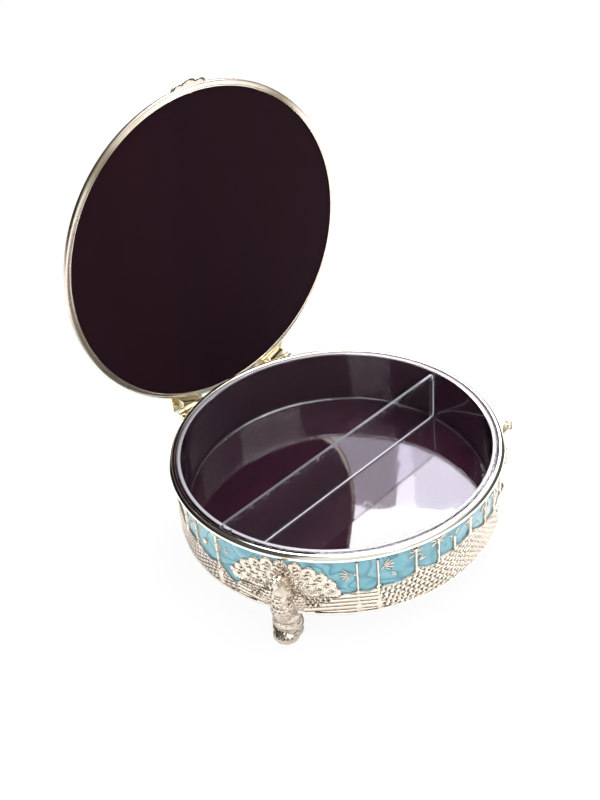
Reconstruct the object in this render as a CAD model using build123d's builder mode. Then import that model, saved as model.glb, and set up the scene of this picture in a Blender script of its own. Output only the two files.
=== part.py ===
from build123d import *
import os
from math import cos, radians, sin, sqrt

# Round footed box for dry fruit, in millimetres, standing open on the table at Z = 0.
# The box's axis is Z, the two hinges are at the rear (+Y) and the thumb tab is on the far edge of
# the lid. The wall is a cast ring with enamel between raised ornament, on three peacock feet.
# A clear tray with one divider lies in the velvet-lined body. The lid is modelled shut, and swung
# open about the hinge line at the end.

# The body, from the table up
box_radius = 110.0  # outside of the polished rim
foot_height = 22.0  # table to the lower edge of the wall
wall_height = 49.5  # lower edge of the wall to the top of the rim
wall_thickness = 1.2
rim_overhang = 3.2  # the rim stands out this far past the wall
rim_depth = 3.4
rim_cove = 2.1  # height of the hollow curve under the rim
rim_roll = 1.4  # rounding of the rim's outer edge, nearly a half round
rim_edge = 0.6  # rounding of the other cast corners
cove_bow = 0.3  # share of the cove's width and height left at its middle point
border_bead = 0.45  # radius of the fine line where the enamel starts
base_bead_height = 2.2
ledge_width = 6.0
ledge_thickness = 1.5

# Enamel and cast ornament on the wall
enamel_thickness = 0.6
relief_height = 1.5
stem_height = 2.1  # the bamboo stands out a little further than its ground
ground_height = 16.5  # flat part of the scale ground, above the wall's lower edge
hump_height = 14.0  # how much higher the ground climbs between two feet
hump_centre = 62.0  # degrees past a foot
hump_half_angle = 33.0
fan_half_width = 35.0
fan_height = 26.4
fan_tip = 4.2  # radius of one feather tip
fan_feathers = 11
stem_width = 1.4
stem_bulb = 3.6
long_stem_angles = (24.2, 30.8)  # degrees past a foot; these reach the base
short_stem_angles = (43.5, 52.0, 59.0, 66.5, 76.0, 94.7)
first_foot_angle = 210.0  # the front left one; the others follow at equal steps
feet = 3

# Feet
foot_reach = 1.0  # how far the sole's centre stands inside the outermost ring of the box
sole_depth = 13.6
sole_width = 15.2
head_reach = 10.5  # the bird's head stands this far outside the sole's centre
head_drop = 15.3  # the head's centre below the top of the rim
head_radius = 3.1
beak_length = 2.2
beak_radius = 1.4
crest_height = 5.0  # from the head's centre to the crest's beads
crest_bead = 1.0
crest_lean = 26.0  # degrees between the crest's stalks
lug_thickness = 2.4
lug_width = 15.0
screw_radius = 1.25
screw_head_radius = 2.3
screw_head_height = 1.4
screw_spacing = 9.0

# Linings and boards
plate_thickness = 1.5
board_thickness = 3.1
velvet_thickness = 1.4
wall_velvet = 1.2

# Tray and divider
tray_wall = 1.8
tray_floor = 1.8
tray_lip = 2.0
tray_draft = 0.55  # the wall leans in by this at the floor
tray_corner = 4.0
slot_length = 2.4
slot_width = 1.1
slot_angles = (187.0, 190.7)
divider_angle = 5.0
divider_thickness = 2.2
divider_drop = 2.75  # top edge below the rim
divider_corner = 4.0
rib_width = 1.2
rib_reach = 2.6
rib_drop = 6.0

# Lid
lid_overhang = 0.9
lid_ring_width = 4.1
lid_ring_height = 2.6
lid_rise = 11.0  # top of the dome above the ring's underside
lid_shoulder = 5.2
lid_shoulder_inset = 4.4
lid_shell = 1.4
lid_board = 1.8
lid_velvet_inset = 0.8
lid_border_width = 8.0
lid_border_height = 0.8
rosette_radius = 48.0
rosette_height = 1.6
rosette_tip = 5.0
rosette_feathers = 24
tab_width = 26.0
tab_reach = 5.0
tab_thickness = 3.0

# Hinges
hinge_setback = 2.2  # hinge line inside the rim's outermost line
hinge_drop = 6.05  # hinge line below the top of the rim
hinge_spacing = 77.0  # between the middles of the two hinges
hinge_width = 25.0
lid_knuckle_width = 14.6
barrel_radius = 2.4
pin_radius = 1.0
pin_head_radius = 1.7
pin_head = 0.6
leaf_height = 11.0
leaf_toe = 4.0
stop_reach = 5.2

# Clearances
running_fit = 0.06
snug_fit = 0.02
lid_gap = 0.3  # lid ring above the rim when shut
side_gap = 0.3  # between pieces that lie beside each other
hinge_gap = 0.25
seat_gap = 0.1  # enamel above the curved lid it is laid on

# Heights and radii that follow from the sizes above
rim_top = foot_height + wall_height
wall_radius = box_radius - rim_overhang
bore_radius = wall_radius - wall_thickness
relief_radius = wall_radius + relief_height
stem_radius = wall_radius + stem_height
enamel_radius = wall_radius + enamel_thickness
rim_underside = rim_top - rim_depth
enamel_top = rim_underside - rim_cove
base_top = foot_height + base_bead_height
ground_top = foot_height + ground_height
plate_top = foot_height + plate_thickness
ledge_top = plate_top + ledge_thickness
ledge_radius = bore_radius - ledge_width
board_top = ledge_top + board_thickness
tray_base = board_top + velvet_thickness
tray_bottom = tray_base + tray_floor
lining_radius = bore_radius - wall_velvet
lip_radius = bore_radius - side_gap
tray_radius = lining_radius - side_gap
tray_bore = tray_radius - tray_wall
foot_step = 360 / feet
foot_angles = [first_foot_angle + foot_step * n for n in range(feet)]
hinge_y = box_radius - hinge_setback
hinge_z = rim_top - hinge_drop
hinge_centre = hinge_spacing / 2
leaf_top = min(hinge_z, enamel_top - 2 * border_bead - side_gap / 3)
lid_radius = box_radius + lid_overhang
lid_base = rim_top + lid_gap
lining_edge = lid_radius - lid_ring_width
finished = {}


def outward(angle):
    """The upright plane through the axis whose normal points out of the wall at this angle."""
    a = radians(angle)
    return Plane(origin=(0, 0, 0), x_dir=(-sin(a), cos(a), 0), z_dir=(cos(a), sin(a), 0))


def polar(radius, angle):
    return (radius * cos(radians(angle)), radius * sin(radians(angle)))


# Cast wall: rim, hollow curve, plain wall behind the enamel, base bead and an inner ledge
foot_screws_at = [
    tuple(
        outward(angle).from_local_coords((side * screw_spacing / 2, 0, bore_radius - ledge_width / 2))
    )
    for angle in foot_angles
    for side in (-1, 1)
]
with BuildPart() as wall_casting:
    with BuildSketch(Plane.XZ) as wall_section:
        with BuildLine():
            Polyline(
                (bore_radius, ledge_top),
                (bore_radius, rim_top),
                (box_radius, rim_top),
                (box_radius, rim_underside),
            )
            ThreePointArc(
                (box_radius, rim_underside),
                (wall_radius + cove_bow * rim_overhang, rim_underside - cove_bow * rim_cove),
                (wall_radius, enamel_top),
            )
            Polyline(
                (wall_radius, enamel_top),
                (wall_radius, base_top),
                (relief_radius, base_top),
                (relief_radius, foot_height),
                (bore_radius, foot_height),
                (bore_radius, plate_top),
                (ledge_radius, plate_top),
                (ledge_radius, ledge_top),
                (bore_radius, ledge_top),
            )
        make_face()
        rim_corners = wall_section.vertices().filter_by(lambda v: v.X > box_radius - rim_roll)
        fillet(rim_corners, min(rim_roll, 0.45 * rim_depth))
        with Locations((wall_radius, enamel_top - border_bead)):
            Circle(border_bead)
    revolve(axis=Axis.Z)
    with Locations(*[(x, y, plate_top) for x, y, _ in foot_screws_at]):
        Cylinder(
            screw_radius + snug_fit,
            ledge_thickness,
            align=(Align.CENTER, Align.CENTER, Align.MIN),
            mode=Mode.SUBTRACT,
        )
finished["wall_casting"] = wall_casting.part

# Hinge leaves on the body: a block shaped to the wall, two outer knuckles and a stop under the lid's arm
hinge_line = Axis((0, hinge_y, hinge_z), (1, 0, 0))


def hinge_disc(start, radius):
    """A disc square to the hinge line, to be extruded towards +X."""
    with BuildSketch(Plane(origin=(start, hinge_y, hinge_z), x_dir=(0, 1, 0), z_dir=(1, 0, 0))) as disc:
        Circle(radius)
    return disc.sketch


def base_leaf(side):
    centre = side * hinge_centre
    left, right = centre - hinge_width / 2, centre + hinge_width / 2
    knuckle_left = centre - lid_knuckle_width / 2 - hinge_gap
    knuckle_right = centre + lid_knuckle_width / 2 + hinge_gap
    with BuildPart() as leaf:
        with BuildSketch(Plane.YZ.offset(left)):
            with BuildLine():
                Polyline(
                    (0, leaf_top),
                    (hinge_y, leaf_top),
                    (hinge_y, hinge_z - leaf_toe),
                    (sqrt(wall_radius**2 - (hinge_centre + hinge_width / 2) ** 2), hinge_z - leaf_height),
                    (0, hinge_z - leaf_height),
                    (0, leaf_top),
                )
            make_face()
        extrude(amount=hinge_width)
        with BuildSketch(Plane.YZ.offset(knuckle_left + hinge_gap)):
            with BuildLine():
                Polyline(
                    (0, hinge_z - barrel_radius - hinge_gap),
                    (hinge_y + stop_reach, hinge_z - barrel_radius - hinge_gap),
                    (hinge_y + stop_reach, hinge_z - barrel_radius - hinge_gap - rim_edge),
                    (hinge_y - barrel_radius, hinge_z - leaf_height + leaf_toe / 2),
                    (0, hinge_z - leaf_height + leaf_toe / 2),
                    (0, hinge_z - barrel_radius - hinge_gap),
                )
            make_face()
        extrude(amount=lid_knuckle_width)
        knuckle_width = (hinge_width - (knuckle_right - knuckle_left)) / 2
        for start in (left, knuckle_right):
            extrude(hinge_disc(start, barrel_radius), amount=knuckle_width)
        relief = hinge_disc(knuckle_left, barrel_radius + hinge_gap)
        extrude(relief, amount=knuckle_right - knuckle_left, mode=Mode.SUBTRACT)
        extrude(hinge_disc(left, pin_radius + snug_fit), amount=hinge_width, mode=Mode.SUBTRACT)
        with BuildSketch(Plane.XY):
            Circle(wall_radius)
        extrude(amount=rim_top, mode=Mode.SUBTRACT)
    return leaf.part


def hinge_pin(side):
    left = side * hinge_centre - hinge_width / 2
    with BuildPart() as pin:
        extrude(hinge_disc(left - pin_head, pin_head_radius), amount=pin_head)
        extrude(hinge_disc(left, pin_radius), amount=hinge_width)
        extrude(hinge_disc(left + hinge_width, pin_head_radius), amount=pin_head)
        ends = pin.faces().sort_by(Axis.X)
        fillet([ends[0].edges()[0], ends[-1].edges()[0]], pin_head / 2)
    return pin.part


for side, word in ((-1, "left"), (1, "right")):
    finished[f"base_leaf_{word}"] = base_leaf(side)
    finished[f"hinge_pin_{word}"] = hinge_pin(side)

# Room left in the ornament and enamel for the two leaves
with BuildPart() as leaf_room:
    with BuildSketch(Plane.XY.offset(hinge_z - leaf_height - side_gap / 3)):
        with Locations((-hinge_centre, hinge_y), (hinge_centre, hinge_y)):
            Rectangle(hinge_width + side_gap, 2 * hinge_width)
    extrude(amount=leaf_height + barrel_radius + side_gap)


def ring_band(start, sweep):
    """A stretch of the relief's ring, from the base bead up, as a sketch ready to extrude."""
    with BuildSketch(Plane.XY.offset(base_top)) as band:
        with BuildLine():
            CenterArc((0, 0), relief_radius, start, sweep)
            CenterArc((0, 0), wall_radius, start, sweep)
            Line(polar(wall_radius, start), polar(relief_radius, start))
            Line(polar(wall_radius, start + sweep), polar(relief_radius, start + sweep))
        make_face()
    return band.sketch


with BuildPart() as relief_ring:
    with BuildSketch():
        Circle(relief_radius)
        Circle(wall_radius, mode=Mode.SUBTRACT)
    extrude(amount=rim_top)

with BuildPart() as stem_ring:
    with BuildSketch():
        Circle(stem_radius)
        Circle(wall_radius, mode=Mode.SUBTRACT)
    extrude(amount=rim_top)

# Peacock's tail fan: a half ellipse edged with feather tips, bent to the wall above each foot
with BuildPart() as fan:
    with BuildSketch(outward(first_foot_angle)):
        with Locations((0, ground_top)):
            Ellipse(fan_half_width - fan_tip, fan_height - fan_tip)
        tips = [180 * (n + 0.5) / fan_feathers for n in range(fan_feathers)]
        with Locations(
            *[
                (
                    (fan_half_width - fan_tip) * cos(radians(t)),
                    ground_top + (fan_height - fan_tip) * sin(radians(t)),
                )
                for t in tips
            ]
        ):
            Circle(fan_tip)
        with Locations((0, ground_top)):
            Rectangle(
                3 * fan_half_width,
                2 * fan_height,
                align=(Align.CENTER, Align.MAX),
                mode=Mode.SUBTRACT,
            )
    extrude(amount=box_radius)
    add(relief_ring.part, mode=Mode.INTERSECT)

# Bamboo panel between two feet: a scale ground that climbs to a hump, and stems up to the rim
hump_angle = first_foot_angle + hump_centre
hump_slope = hump_height / (relief_radius * (1 - cos(radians(hump_half_angle))))
hump_top = Plane(
    origin=(*polar(relief_radius, hump_angle), ground_top + hump_height),
    z_dir=(
        -hump_slope * cos(radians(hump_angle)),
        -hump_slope * sin(radians(hump_angle)),
        1,
    ),
)
with BuildPart() as hump:
    hump_band = ring_band(hump_angle - hump_half_angle, 2 * hump_half_angle)
    extrude(hump_band, amount=enamel_top - base_top)
    split(bisect_by=hump_top, keep=Keep.BOTTOM)

with BuildPart() as stems:
    for step in long_stem_angles + short_stem_angles:
        foot_of_stem = base_top if step in long_stem_angles else ground_top - fan_tip
        with BuildSketch(outward(first_foot_angle + step)):
            with Locations((0, foot_of_stem)):
                Rectangle(
                    stem_width,
                    enamel_top - 2 * border_bead - foot_of_stem,
                    align=(Align.CENTER, Align.MIN),
                )
            if step in long_stem_angles:
                with Locations((0, base_top + 1.5 * stem_bulb)):
                    Ellipse(stem_bulb / 2, 1.5 * stem_bulb)
        extrude(amount=box_radius)
    add(stem_ring.part, mode=Mode.INTERSECT)

with BuildPart() as bamboo_panel:
    extrude(ring_band(first_foot_angle, foot_step), amount=ground_height - base_bead_height)
    add(hump.part)
    add(stems.part)

for n, word in enumerate(("front_left", "front_right", "rear")):
    with BuildPart() as fan_here:
        add(fan.part, rotation=(0, 0, foot_step * n))
        add(leaf_room.part, mode=Mode.SUBTRACT)
    finished[f"fan_{word}"] = fan_here.part

for n, word in enumerate(("front", "right", "left")):
    with BuildPart() as panel_here:
        add(bamboo_panel.part, rotation=(0, 0, foot_step * n))
        add(leaf_room.part, mode=Mode.SUBTRACT)
    finished[f"bamboo_{word}"] = panel_here.part

# Enamel fills the cells that the castings leave free
with BuildPart() as enamel:
    with BuildSketch(Plane.XY.offset(ground_top)):
        Circle(enamel_radius)
        Circle(wall_radius, mode=Mode.SUBTRACT)
    extrude(amount=enamel_top - 2 * border_bead - ground_top)
    for name in [n for n in finished if n.startswith(("fan_", "bamboo_"))]:
        add(finished[name], mode=Mode.SUBTRACT)
    add(leaf_room.part, mode=Mode.SUBTRACT)
finished["enamel"] = enamel.part

# Peacock foot: a broad leg on a rounded sole, breast and neck on the wall, the head clear of it.
# Each station gives a height, and the section's centre past the leg's, half depth and half width
# in shares of the sole's depth and width.
leg_centre = box_radius - foot_reach
head_x = leg_centre + head_reach
head_z = rim_top - head_drop
neck_height = head_z - head_radius / 3
with BuildPart() as foot:
    stations = (
        (0, 0, 0.5, 0.5),
        (0.23 * foot_height, 0, 0.6, 0.6),
        (0.55 * foot_height, -0.09, 0.5, 0.59),
        (0.9 * foot_height, -0.04, 0.5, 0.56),
        (foot_height + 0.14 * wall_height, 0.13, 0.62, 0.58),
        (foot_height + 0.3 * wall_height, 0.16, 0.64, 0.57),
        (foot_height + 0.45 * wall_height, 0.14, 0.46, 0.42),
        (foot_height + 0.57 * wall_height, 0.3, 0.29, 0.26),
    )
    for height, shift, depth, width in stations:
        with BuildSketch(Plane.XY.offset(height)):
            with Locations((leg_centre + shift * sole_depth, 0)):
                Ellipse(depth * sole_depth, width * sole_width)
    with BuildSketch(Plane.XY.offset(neck_height)):
        with Locations((head_x - head_radius / 4, 0)):
            Ellipse(0.75 * head_radius, 0.7 * head_radius)
    loft()
    with Locations((head_x, 0, head_z)):
        Sphere(head_radius)
    with Locations(Location((head_x, 0, head_z), (0, 110, 0))):
        Cone(
            beak_radius,
            beak_radius / 4,
            head_radius + beak_length,
            align=(Align.CENTER, Align.CENTER, Align.MIN),
        )
    for lean in (-crest_lean, 0, crest_lean):
        stalk = Location((head_x, 0, head_z), (lean, 0, 0))
        with Locations(stalk):
            Cylinder(0.6 * crest_bead, crest_height, align=(Align.CENTER, Align.CENTER, Align.MIN))
        with Locations(stalk * Location((0, 0, crest_height))):
            Sphere(crest_bead)
    with BuildSketch(Plane.XY.offset(foot_height)):
        Circle(relief_radius)
    extrude(amount=wall_height, mode=Mode.SUBTRACT)
    with BuildSketch(Plane.XY.offset(foot_height - lug_thickness)):
        with Locations((ledge_radius - lug_thickness, 0)):
            RectangleRounded(
                leg_centre - ledge_radius + lug_thickness,
                lug_width,
                lug_thickness,
                align=(Align.MIN, Align.CENTER),
            )
    extrude(amount=lug_thickness)
    with Locations(
        *[
            (bore_radius - ledge_width / 2, side * screw_spacing / 2, foot_height - lug_thickness)
            for side in (-1, 1)
        ]
    ):
        Cylinder(
            screw_radius + snug_fit,
            lug_thickness,
            align=(Align.CENTER, Align.CENTER, Align.MIN),
            mode=Mode.SUBTRACT,
        )
        Cylinder(
            screw_head_radius + side_gap,
            foot_height,
            align=(Align.CENTER, Align.CENTER, Align.MAX),
            mode=Mode.SUBTRACT,
        )
for angle, word in zip(foot_angles, ("front_left", "front_right", "rear")):
    finished[f"foot_{word}"] = foot.part.rotate(Axis.Z, angle)

# Six screws go up through the lugs and the base plate into the ledge
with BuildPart() as foot_screws:
    with Locations(*[(x, y, foot_height - lug_thickness) for x, y, _ in foot_screws_at]):
        Cylinder(
            screw_radius,
            lug_thickness + plate_thickness + ledge_thickness - side_gap,
            align=(Align.CENTER, Align.CENTER, Align.MIN),
        )
        Cylinder(
            screw_head_radius,
            screw_head_height,
            align=(Align.CENTER, Align.CENTER, Align.MAX),
        )
finished["foot_screws"] = foot_screws.part

# Base plate, held up against the ledge by the feet
with BuildPart() as base_plate:
    with BuildSketch(Plane.XY.offset(foot_height)):
        Circle(bore_radius - side_gap)
        with Locations(*[(x, y) for x, y, _ in foot_screws_at]):
            Circle(screw_radius + snug_fit, mode=Mode.SUBTRACT)
    extrude(amount=plate_thickness)
finished["base_plate"] = base_plate.part

# Card board and velvet under the tray, and a velvet strip round the inside of the wall
with BuildPart() as floor_board:
    with BuildSketch(Plane.XY.offset(ledge_top)):
        Circle(lining_radius - side_gap)
    extrude(amount=board_thickness)
finished["floor_board"] = floor_board.part

with BuildPart() as floor_lining:
    with BuildSketch(Plane.XY.offset(board_top)):
        Circle(lining_radius - side_gap)
    extrude(amount=velvet_thickness)
finished["floor_lining"] = floor_lining.part

with BuildPart() as wall_lining:
    with BuildSketch(Plane.XY.offset(ledge_top)):
        Circle(bore_radius)
        Circle(lining_radius, mode=Mode.SUBTRACT)
    extrude(amount=rim_top - tray_lip - side_gap - ledge_top)
finished["wall_lining"] = wall_lining.part

# Clear tray: a moulded cup with a flat lip, a rounded floor corner and ribs that hold the divider
half_divider = tray_bore - tray_draft - side_gap
with BuildPart() as tray:
    with BuildSketch(Plane.XZ) as tray_section:
        with BuildLine():
            Polyline(
                (0, tray_base),
                (tray_radius - tray_draft, tray_base),
                (tray_radius, rim_top - tray_lip),
                (lip_radius, rim_top - tray_lip),
                (lip_radius, rim_top),
                (tray_bore, rim_top),
                (tray_bore - tray_draft, tray_bottom),
                (0, tray_bottom),
                (0, tray_base),
            )
        make_face()
        outer_corner = tray_section.vertices().sort_by_distance((tray_radius - tray_draft, tray_base))[0]
        fillet(outer_corner, tray_corner)
        inner_corner = tray_section.vertices().sort_by_distance((tray_bore - tray_draft, tray_bottom))[0]
        fillet(inner_corner, tray_corner - tray_wall / 2)
    revolve(axis=Axis.Z)
    with BuildSketch(Plane.XY.offset(tray_bottom)):
        for end in (-1, 1):
            for side in (-1, 1):
                along = end * (tray_bore - rib_reach / 2)
                across = side * (divider_thickness / 2 + side_gap / 2 + rib_width / 2)
                turn = radians(divider_angle)
                place = (
                    along * cos(turn) - across * sin(turn),
                    along * sin(turn) + across * cos(turn),
                )
                with Locations(Location((*place, 0), (0, 0, divider_angle))):
                    Rectangle(rib_reach + tray_wall / 2, rib_width)
    extrude(amount=rim_top - rib_drop - tray_bottom)
    with BuildSketch(Plane.XY.offset(rim_top - tray_lip)):
        for angle in slot_angles:
            where = Location((*polar((tray_bore + lip_radius) / 2, angle), 0), (0, 0, angle + 90))
            with Locations(where):
                SlotOverall(slot_length, slot_width)
    extrude(amount=tray_lip, mode=Mode.SUBTRACT)
finished["tray"] = tray.part

# Clear divider with rounded lower corners, standing across the middle of the tray
divider_plane = Plane.XZ.rotated((0, 0, divider_angle)).offset(-divider_thickness / 2)
divider_height = rim_top - divider_drop - tray_bottom - side_gap
with BuildPart() as divider:
    with BuildSketch(divider_plane) as divider_face:
        with Locations((0, tray_bottom + side_gap)):
            Rectangle(2 * half_divider, divider_height, align=(Align.CENTER, Align.MIN))
        corners = divider_face.vertices().group_by(Axis.Y)
        fillet(corners[0], divider_corner)
        fillet(divider_face.vertices().group_by(Axis.Y)[-1], divider_corner / 4)
    extrude(amount=divider_thickness)
finished["divider"] = divider.part

# The lid, modelled shut: a ring, a shoulder and a low dome, hollow under for the board
dome_edge = lid_radius - lid_shoulder_inset
dome_edge_z = lid_base + lid_shoulder
dome_sagitta = lid_rise - lid_shoulder
dome_sphere = (dome_edge**2 + dome_sagitta**2) / (2 * dome_sagitta)


def dome(radius, offset=0.0):
    """Point of the dome's outer surface at this radius, moved out by the offset."""
    sphere = dome_sphere + offset
    return (radius, lid_base + lid_rise - dome_sphere + sqrt(sphere**2 - radius**2))


def dome_arc(inner, outer, offset=0.0):
    return ThreePointArc(dome(inner, offset), dome((inner + outer) / 2, offset), dome(outer, offset))


board_base = lid_base + lid_velvet_inset + velvet_thickness
board_ledge = board_base + lid_board
border_inner = dome_edge - lid_border_width
lid_enamel_edge = border_inner - side_gap
with BuildPart() as lid_casting:
    with BuildSketch(Plane.XZ) as lid_section:
        with BuildLine():
            Polyline(
                (lining_edge, board_ledge),
                (lining_edge, lid_base),
                (lid_radius, lid_base),
                (lid_radius, lid_base + lid_ring_height),
                (dome_edge, dome_edge_z),
                dome(dome_edge, lid_border_height),
            )
            dome_arc(border_inner, dome_edge, lid_border_height)
            Line(dome(border_inner, lid_border_height), dome(border_inner))
            dome_arc(0, border_inner)
            Line(dome(0), dome(0, -lid_shell))
            dome_arc(0, lining_edge - lid_ring_width, -lid_shell)
            Polyline(
                dome(lining_edge - lid_ring_width, -lid_shell),
                (lining_edge - lid_ring_width, board_ledge),
                (lining_edge, board_ledge),
            )
        make_face()
        ring_corners = lid_section.vertices().filter_by(lambda v: v.X > lid_radius - rim_edge)
        fillet(ring_corners, rim_edge)
    revolve(axis=Axis.Z)

# Rosette of feather tips in the middle of the lid, and the enamel round it
with BuildPart() as rosette:
    with BuildSketch(Plane.XY.offset(lid_base)):
        Circle(rosette_radius - rosette_tip)
        with PolarLocations(rosette_radius - rosette_tip, rosette_feathers):
            Circle(rosette_tip)
    extrude(amount=2 * lid_rise)
    with BuildSketch(Plane.XZ):
        with BuildLine():
            dome_arc(0, rosette_radius)
            Line(dome(rosette_radius), dome(rosette_radius, rosette_height))
            dome_arc(0, rosette_radius, rosette_height)
            Line(dome(0), dome(0, rosette_height))
        make_face()
    revolve(axis=Axis.Z, mode=Mode.INTERSECT)

with BuildPart() as lid_enamel:
    with BuildSketch(Plane.XZ):
        with BuildLine():
            dome_arc(0, lid_enamel_edge, seat_gap)
            Line(dome(lid_enamel_edge, seat_gap), dome(lid_enamel_edge, enamel_thickness))
            dome_arc(0, lid_enamel_edge, enamel_thickness)
            Line(dome(0, seat_gap), dome(0, enamel_thickness))
        make_face()
    revolve(axis=Axis.Z)
    add(rosette.part, mode=Mode.SUBTRACT)

with BuildPart() as lid_backing:
    with BuildSketch(Plane.XY.offset(board_base)):
        Circle(lining_edge - side_gap)
    extrude(amount=lid_board)

with BuildPart() as lid_lining:
    with BuildSketch(Plane.XY.offset(lid_base + lid_velvet_inset)):
        Circle(lining_edge - side_gap / 2)
    extrude(amount=velvet_thickness)
    fillet(lid_lining.edges().sort_by(Axis.Z)[0], velvet_thickness / 3)

# Thumb tab: a low crest of three lobes against the front of the ring
with BuildPart() as thumb_tab:
    with BuildSketch(Plane.XY.offset(lid_base)):
        with Locations((0, -lid_radius)):
            Ellipse(tab_width / 4, tab_reach)
        with Locations((-tab_width / 4, -lid_radius), (tab_width / 4, -lid_radius)):
            Ellipse(tab_width / 4, 0.7 * tab_reach)
        Circle(lid_radius, mode=Mode.SUBTRACT)
    extrude(amount=tab_thickness)
    top = thumb_tab.faces().sort_by(Axis.Z)[-1]
    fillet(top.edges().filter_by(GeomType.ELLIPSE), rim_edge)


def lid_leaf(side):
    """Lid half of a hinge: a leaf behind the ring, an arm shaped to the rim and one knuckle."""
    centre = side * hinge_centre
    arm_left = centre - lid_knuckle_width / 2
    with BuildPart() as leaf:
        with BuildSketch(Plane.XY.offset(hinge_z + hinge_gap)):
            with Locations((centre, hinge_y + barrel_radius)):
                Rectangle(lid_knuckle_width, leaf_height, align=(Align.CENTER, Align.MAX))
        extrude(amount=lid_base + lid_ring_height - hinge_z - hinge_gap)
        with BuildSketch(Plane.XY.offset(lid_base)):
            with Locations((centre, hinge_y + barrel_radius)):
                Rectangle(hinge_width, 2 * leaf_height, align=(Align.CENTER, Align.MAX))
        extrude(amount=lid_ring_height)
        with BuildSketch(Plane.XY):
            Circle(lid_radius)
        extrude(amount=lid_base + 2 * lid_ring_height, mode=Mode.SUBTRACT)
        with BuildSketch(Plane.XY.offset(hinge_z)):
            with Locations((centre, hinge_y)):
                Rectangle(lid_knuckle_width, 2 * barrel_radius)
        extrude(amount=hinge_gap)
        extrude(hinge_disc(arm_left, barrel_radius), amount=lid_knuckle_width)
        bore = hinge_disc(arm_left, pin_radius + running_fit)
        extrude(bore, amount=lid_knuckle_width, mode=Mode.SUBTRACT)
    return leaf.part


# Swing the lid's pieces open: a quarter turn about the hinge line
shut_pieces = {
    "lid_casting": lid_casting.part,
    "lid_rosette": rosette.part,
    "lid_enamel": lid_enamel.part,
    "lid_board": lid_backing.part,
    "lid_lining": lid_lining.part,
    "thumb_tab": thumb_tab.part,
    "lid_leaf_left": lid_leaf(-1),
    "lid_leaf_right": lid_leaf(1),
}
for name, piece in shut_pieces.items():
    finished[name] = piece.rotate(hinge_line, -90)

os.makedirs("parts", exist_ok=True)
for name, piece in finished.items():
    piece.label = name
    export_step(piece, f"parts/{name}.step")
    print(name, len(piece.solids()), round(piece.volume))
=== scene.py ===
import math

import bmesh
import bpy
import numpy as np
from mathutils import Matrix, Vector


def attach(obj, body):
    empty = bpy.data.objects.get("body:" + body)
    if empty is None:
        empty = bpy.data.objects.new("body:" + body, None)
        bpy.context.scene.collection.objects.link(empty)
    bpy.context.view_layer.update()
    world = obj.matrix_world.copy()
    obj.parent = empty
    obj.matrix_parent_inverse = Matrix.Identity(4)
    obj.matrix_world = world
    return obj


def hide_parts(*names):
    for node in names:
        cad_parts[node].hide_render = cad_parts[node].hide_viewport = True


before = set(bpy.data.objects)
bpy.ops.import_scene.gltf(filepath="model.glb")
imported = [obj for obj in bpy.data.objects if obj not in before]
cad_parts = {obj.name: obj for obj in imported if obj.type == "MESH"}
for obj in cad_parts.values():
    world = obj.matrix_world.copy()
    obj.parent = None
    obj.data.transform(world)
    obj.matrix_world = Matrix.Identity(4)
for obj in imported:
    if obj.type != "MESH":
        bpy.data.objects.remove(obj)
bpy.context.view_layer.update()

# Camera
# It stands in front of the box and to its left, looks down at it, and is rolled a little.
# Its place was fitted to the circles of the rim, the tray's lip and the lid's lining.
MM = 0.001
BOX_RADIUS = 110.0
RIM_TOP = 71.5
CAMERA_AZIMUTH = math.radians(-39.72)
CAMERA_ELEVATION = math.radians(38.18)
CAMERA_ROLL = math.radians(-5.36)
CAMERA_DISTANCE = 698.63
AIM_RIGHT, AIM_UP = -21.13, 27.96
FOCAL_PIXELS = 1059.9
FRAME_TALL = 800
SENSOR = 24.0

toward_camera = Vector((
    math.sin(CAMERA_AZIMUTH) * math.cos(CAMERA_ELEVATION),
    -math.cos(CAMERA_AZIMUTH) * math.cos(CAMERA_ELEVATION),
    math.sin(CAMERA_ELEVATION),
))
level_right = (-toward_camera).cross(Vector((0, 0, 1))).normalized()
level_up = level_right.cross(-toward_camera)
eye = toward_camera * CAMERA_DISTANCE
forward = (level_right * AIM_RIGHT + level_up * AIM_UP - eye).normalized()
right = forward.cross(Vector((0, 0, 1))).normalized()
up = right.cross(forward)
rolled_right = right * math.cos(CAMERA_ROLL) + up * math.sin(CAMERA_ROLL)
rolled_up = up * math.cos(CAMERA_ROLL) - right * math.sin(CAMERA_ROLL)

lens = bpy.data.cameras.new("photograph")
lens.sensor_fit = "VERTICAL"
lens.sensor_height = SENSOR
lens.lens = SENSOR * FOCAL_PIXELS / FRAME_TALL
lens.clip_start = 0.01
lens.clip_end = 100
camera = bpy.data.objects.new("photograph", lens)
facing = Matrix((rolled_right, rolled_up, -forward)).transposed().to_4x4()
place = (eye + Vector((0, 0, RIM_TOP))) * MM
camera.matrix_world = Matrix.Translation(place) @ facing
bpy.context.scene.collection.objects.link(camera)
bpy.context.scene.camera = camera
bpy.context.scene.view_settings.view_transform = "Standard"


# Table and studio
# A white table runs out of sight under the box, in a room that the camera sees as white. Polished
# metal sees it dark near the table's level and behind the lid, and bright overhead. A window, its
# sill, the far wall and the ceiling are soft lamps, and the tray's floor mirrors them.
TABLE_HALF = 12.0
TABLE_WHITE = (0.86, 0.86, 0.86, 1)
TABLE_GLOW = 0.93
ROOM_LIGHT = 0.55
ROOM_SEEN = 1.0
ROOM_LOW, ROOM_HIGH = 0.12, 1.15
ROOM_UNLIT = 0.1
DARK_UNTIL, BRIGHT_FROM = 0.4, 0.7
DARK_SIDE_WAY = (130, 30)
DARK_SIDE_EDGE, DARK_SIDE_FULL = 0.52, 0.66


def new_material(name):
    """A node material with its Principled shader, ready to be set."""
    material = bpy.data.materials.new(name)
    material.use_nodes = True
    return material, material.node_tree, material.node_tree.nodes["Principled BSDF"]


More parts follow.
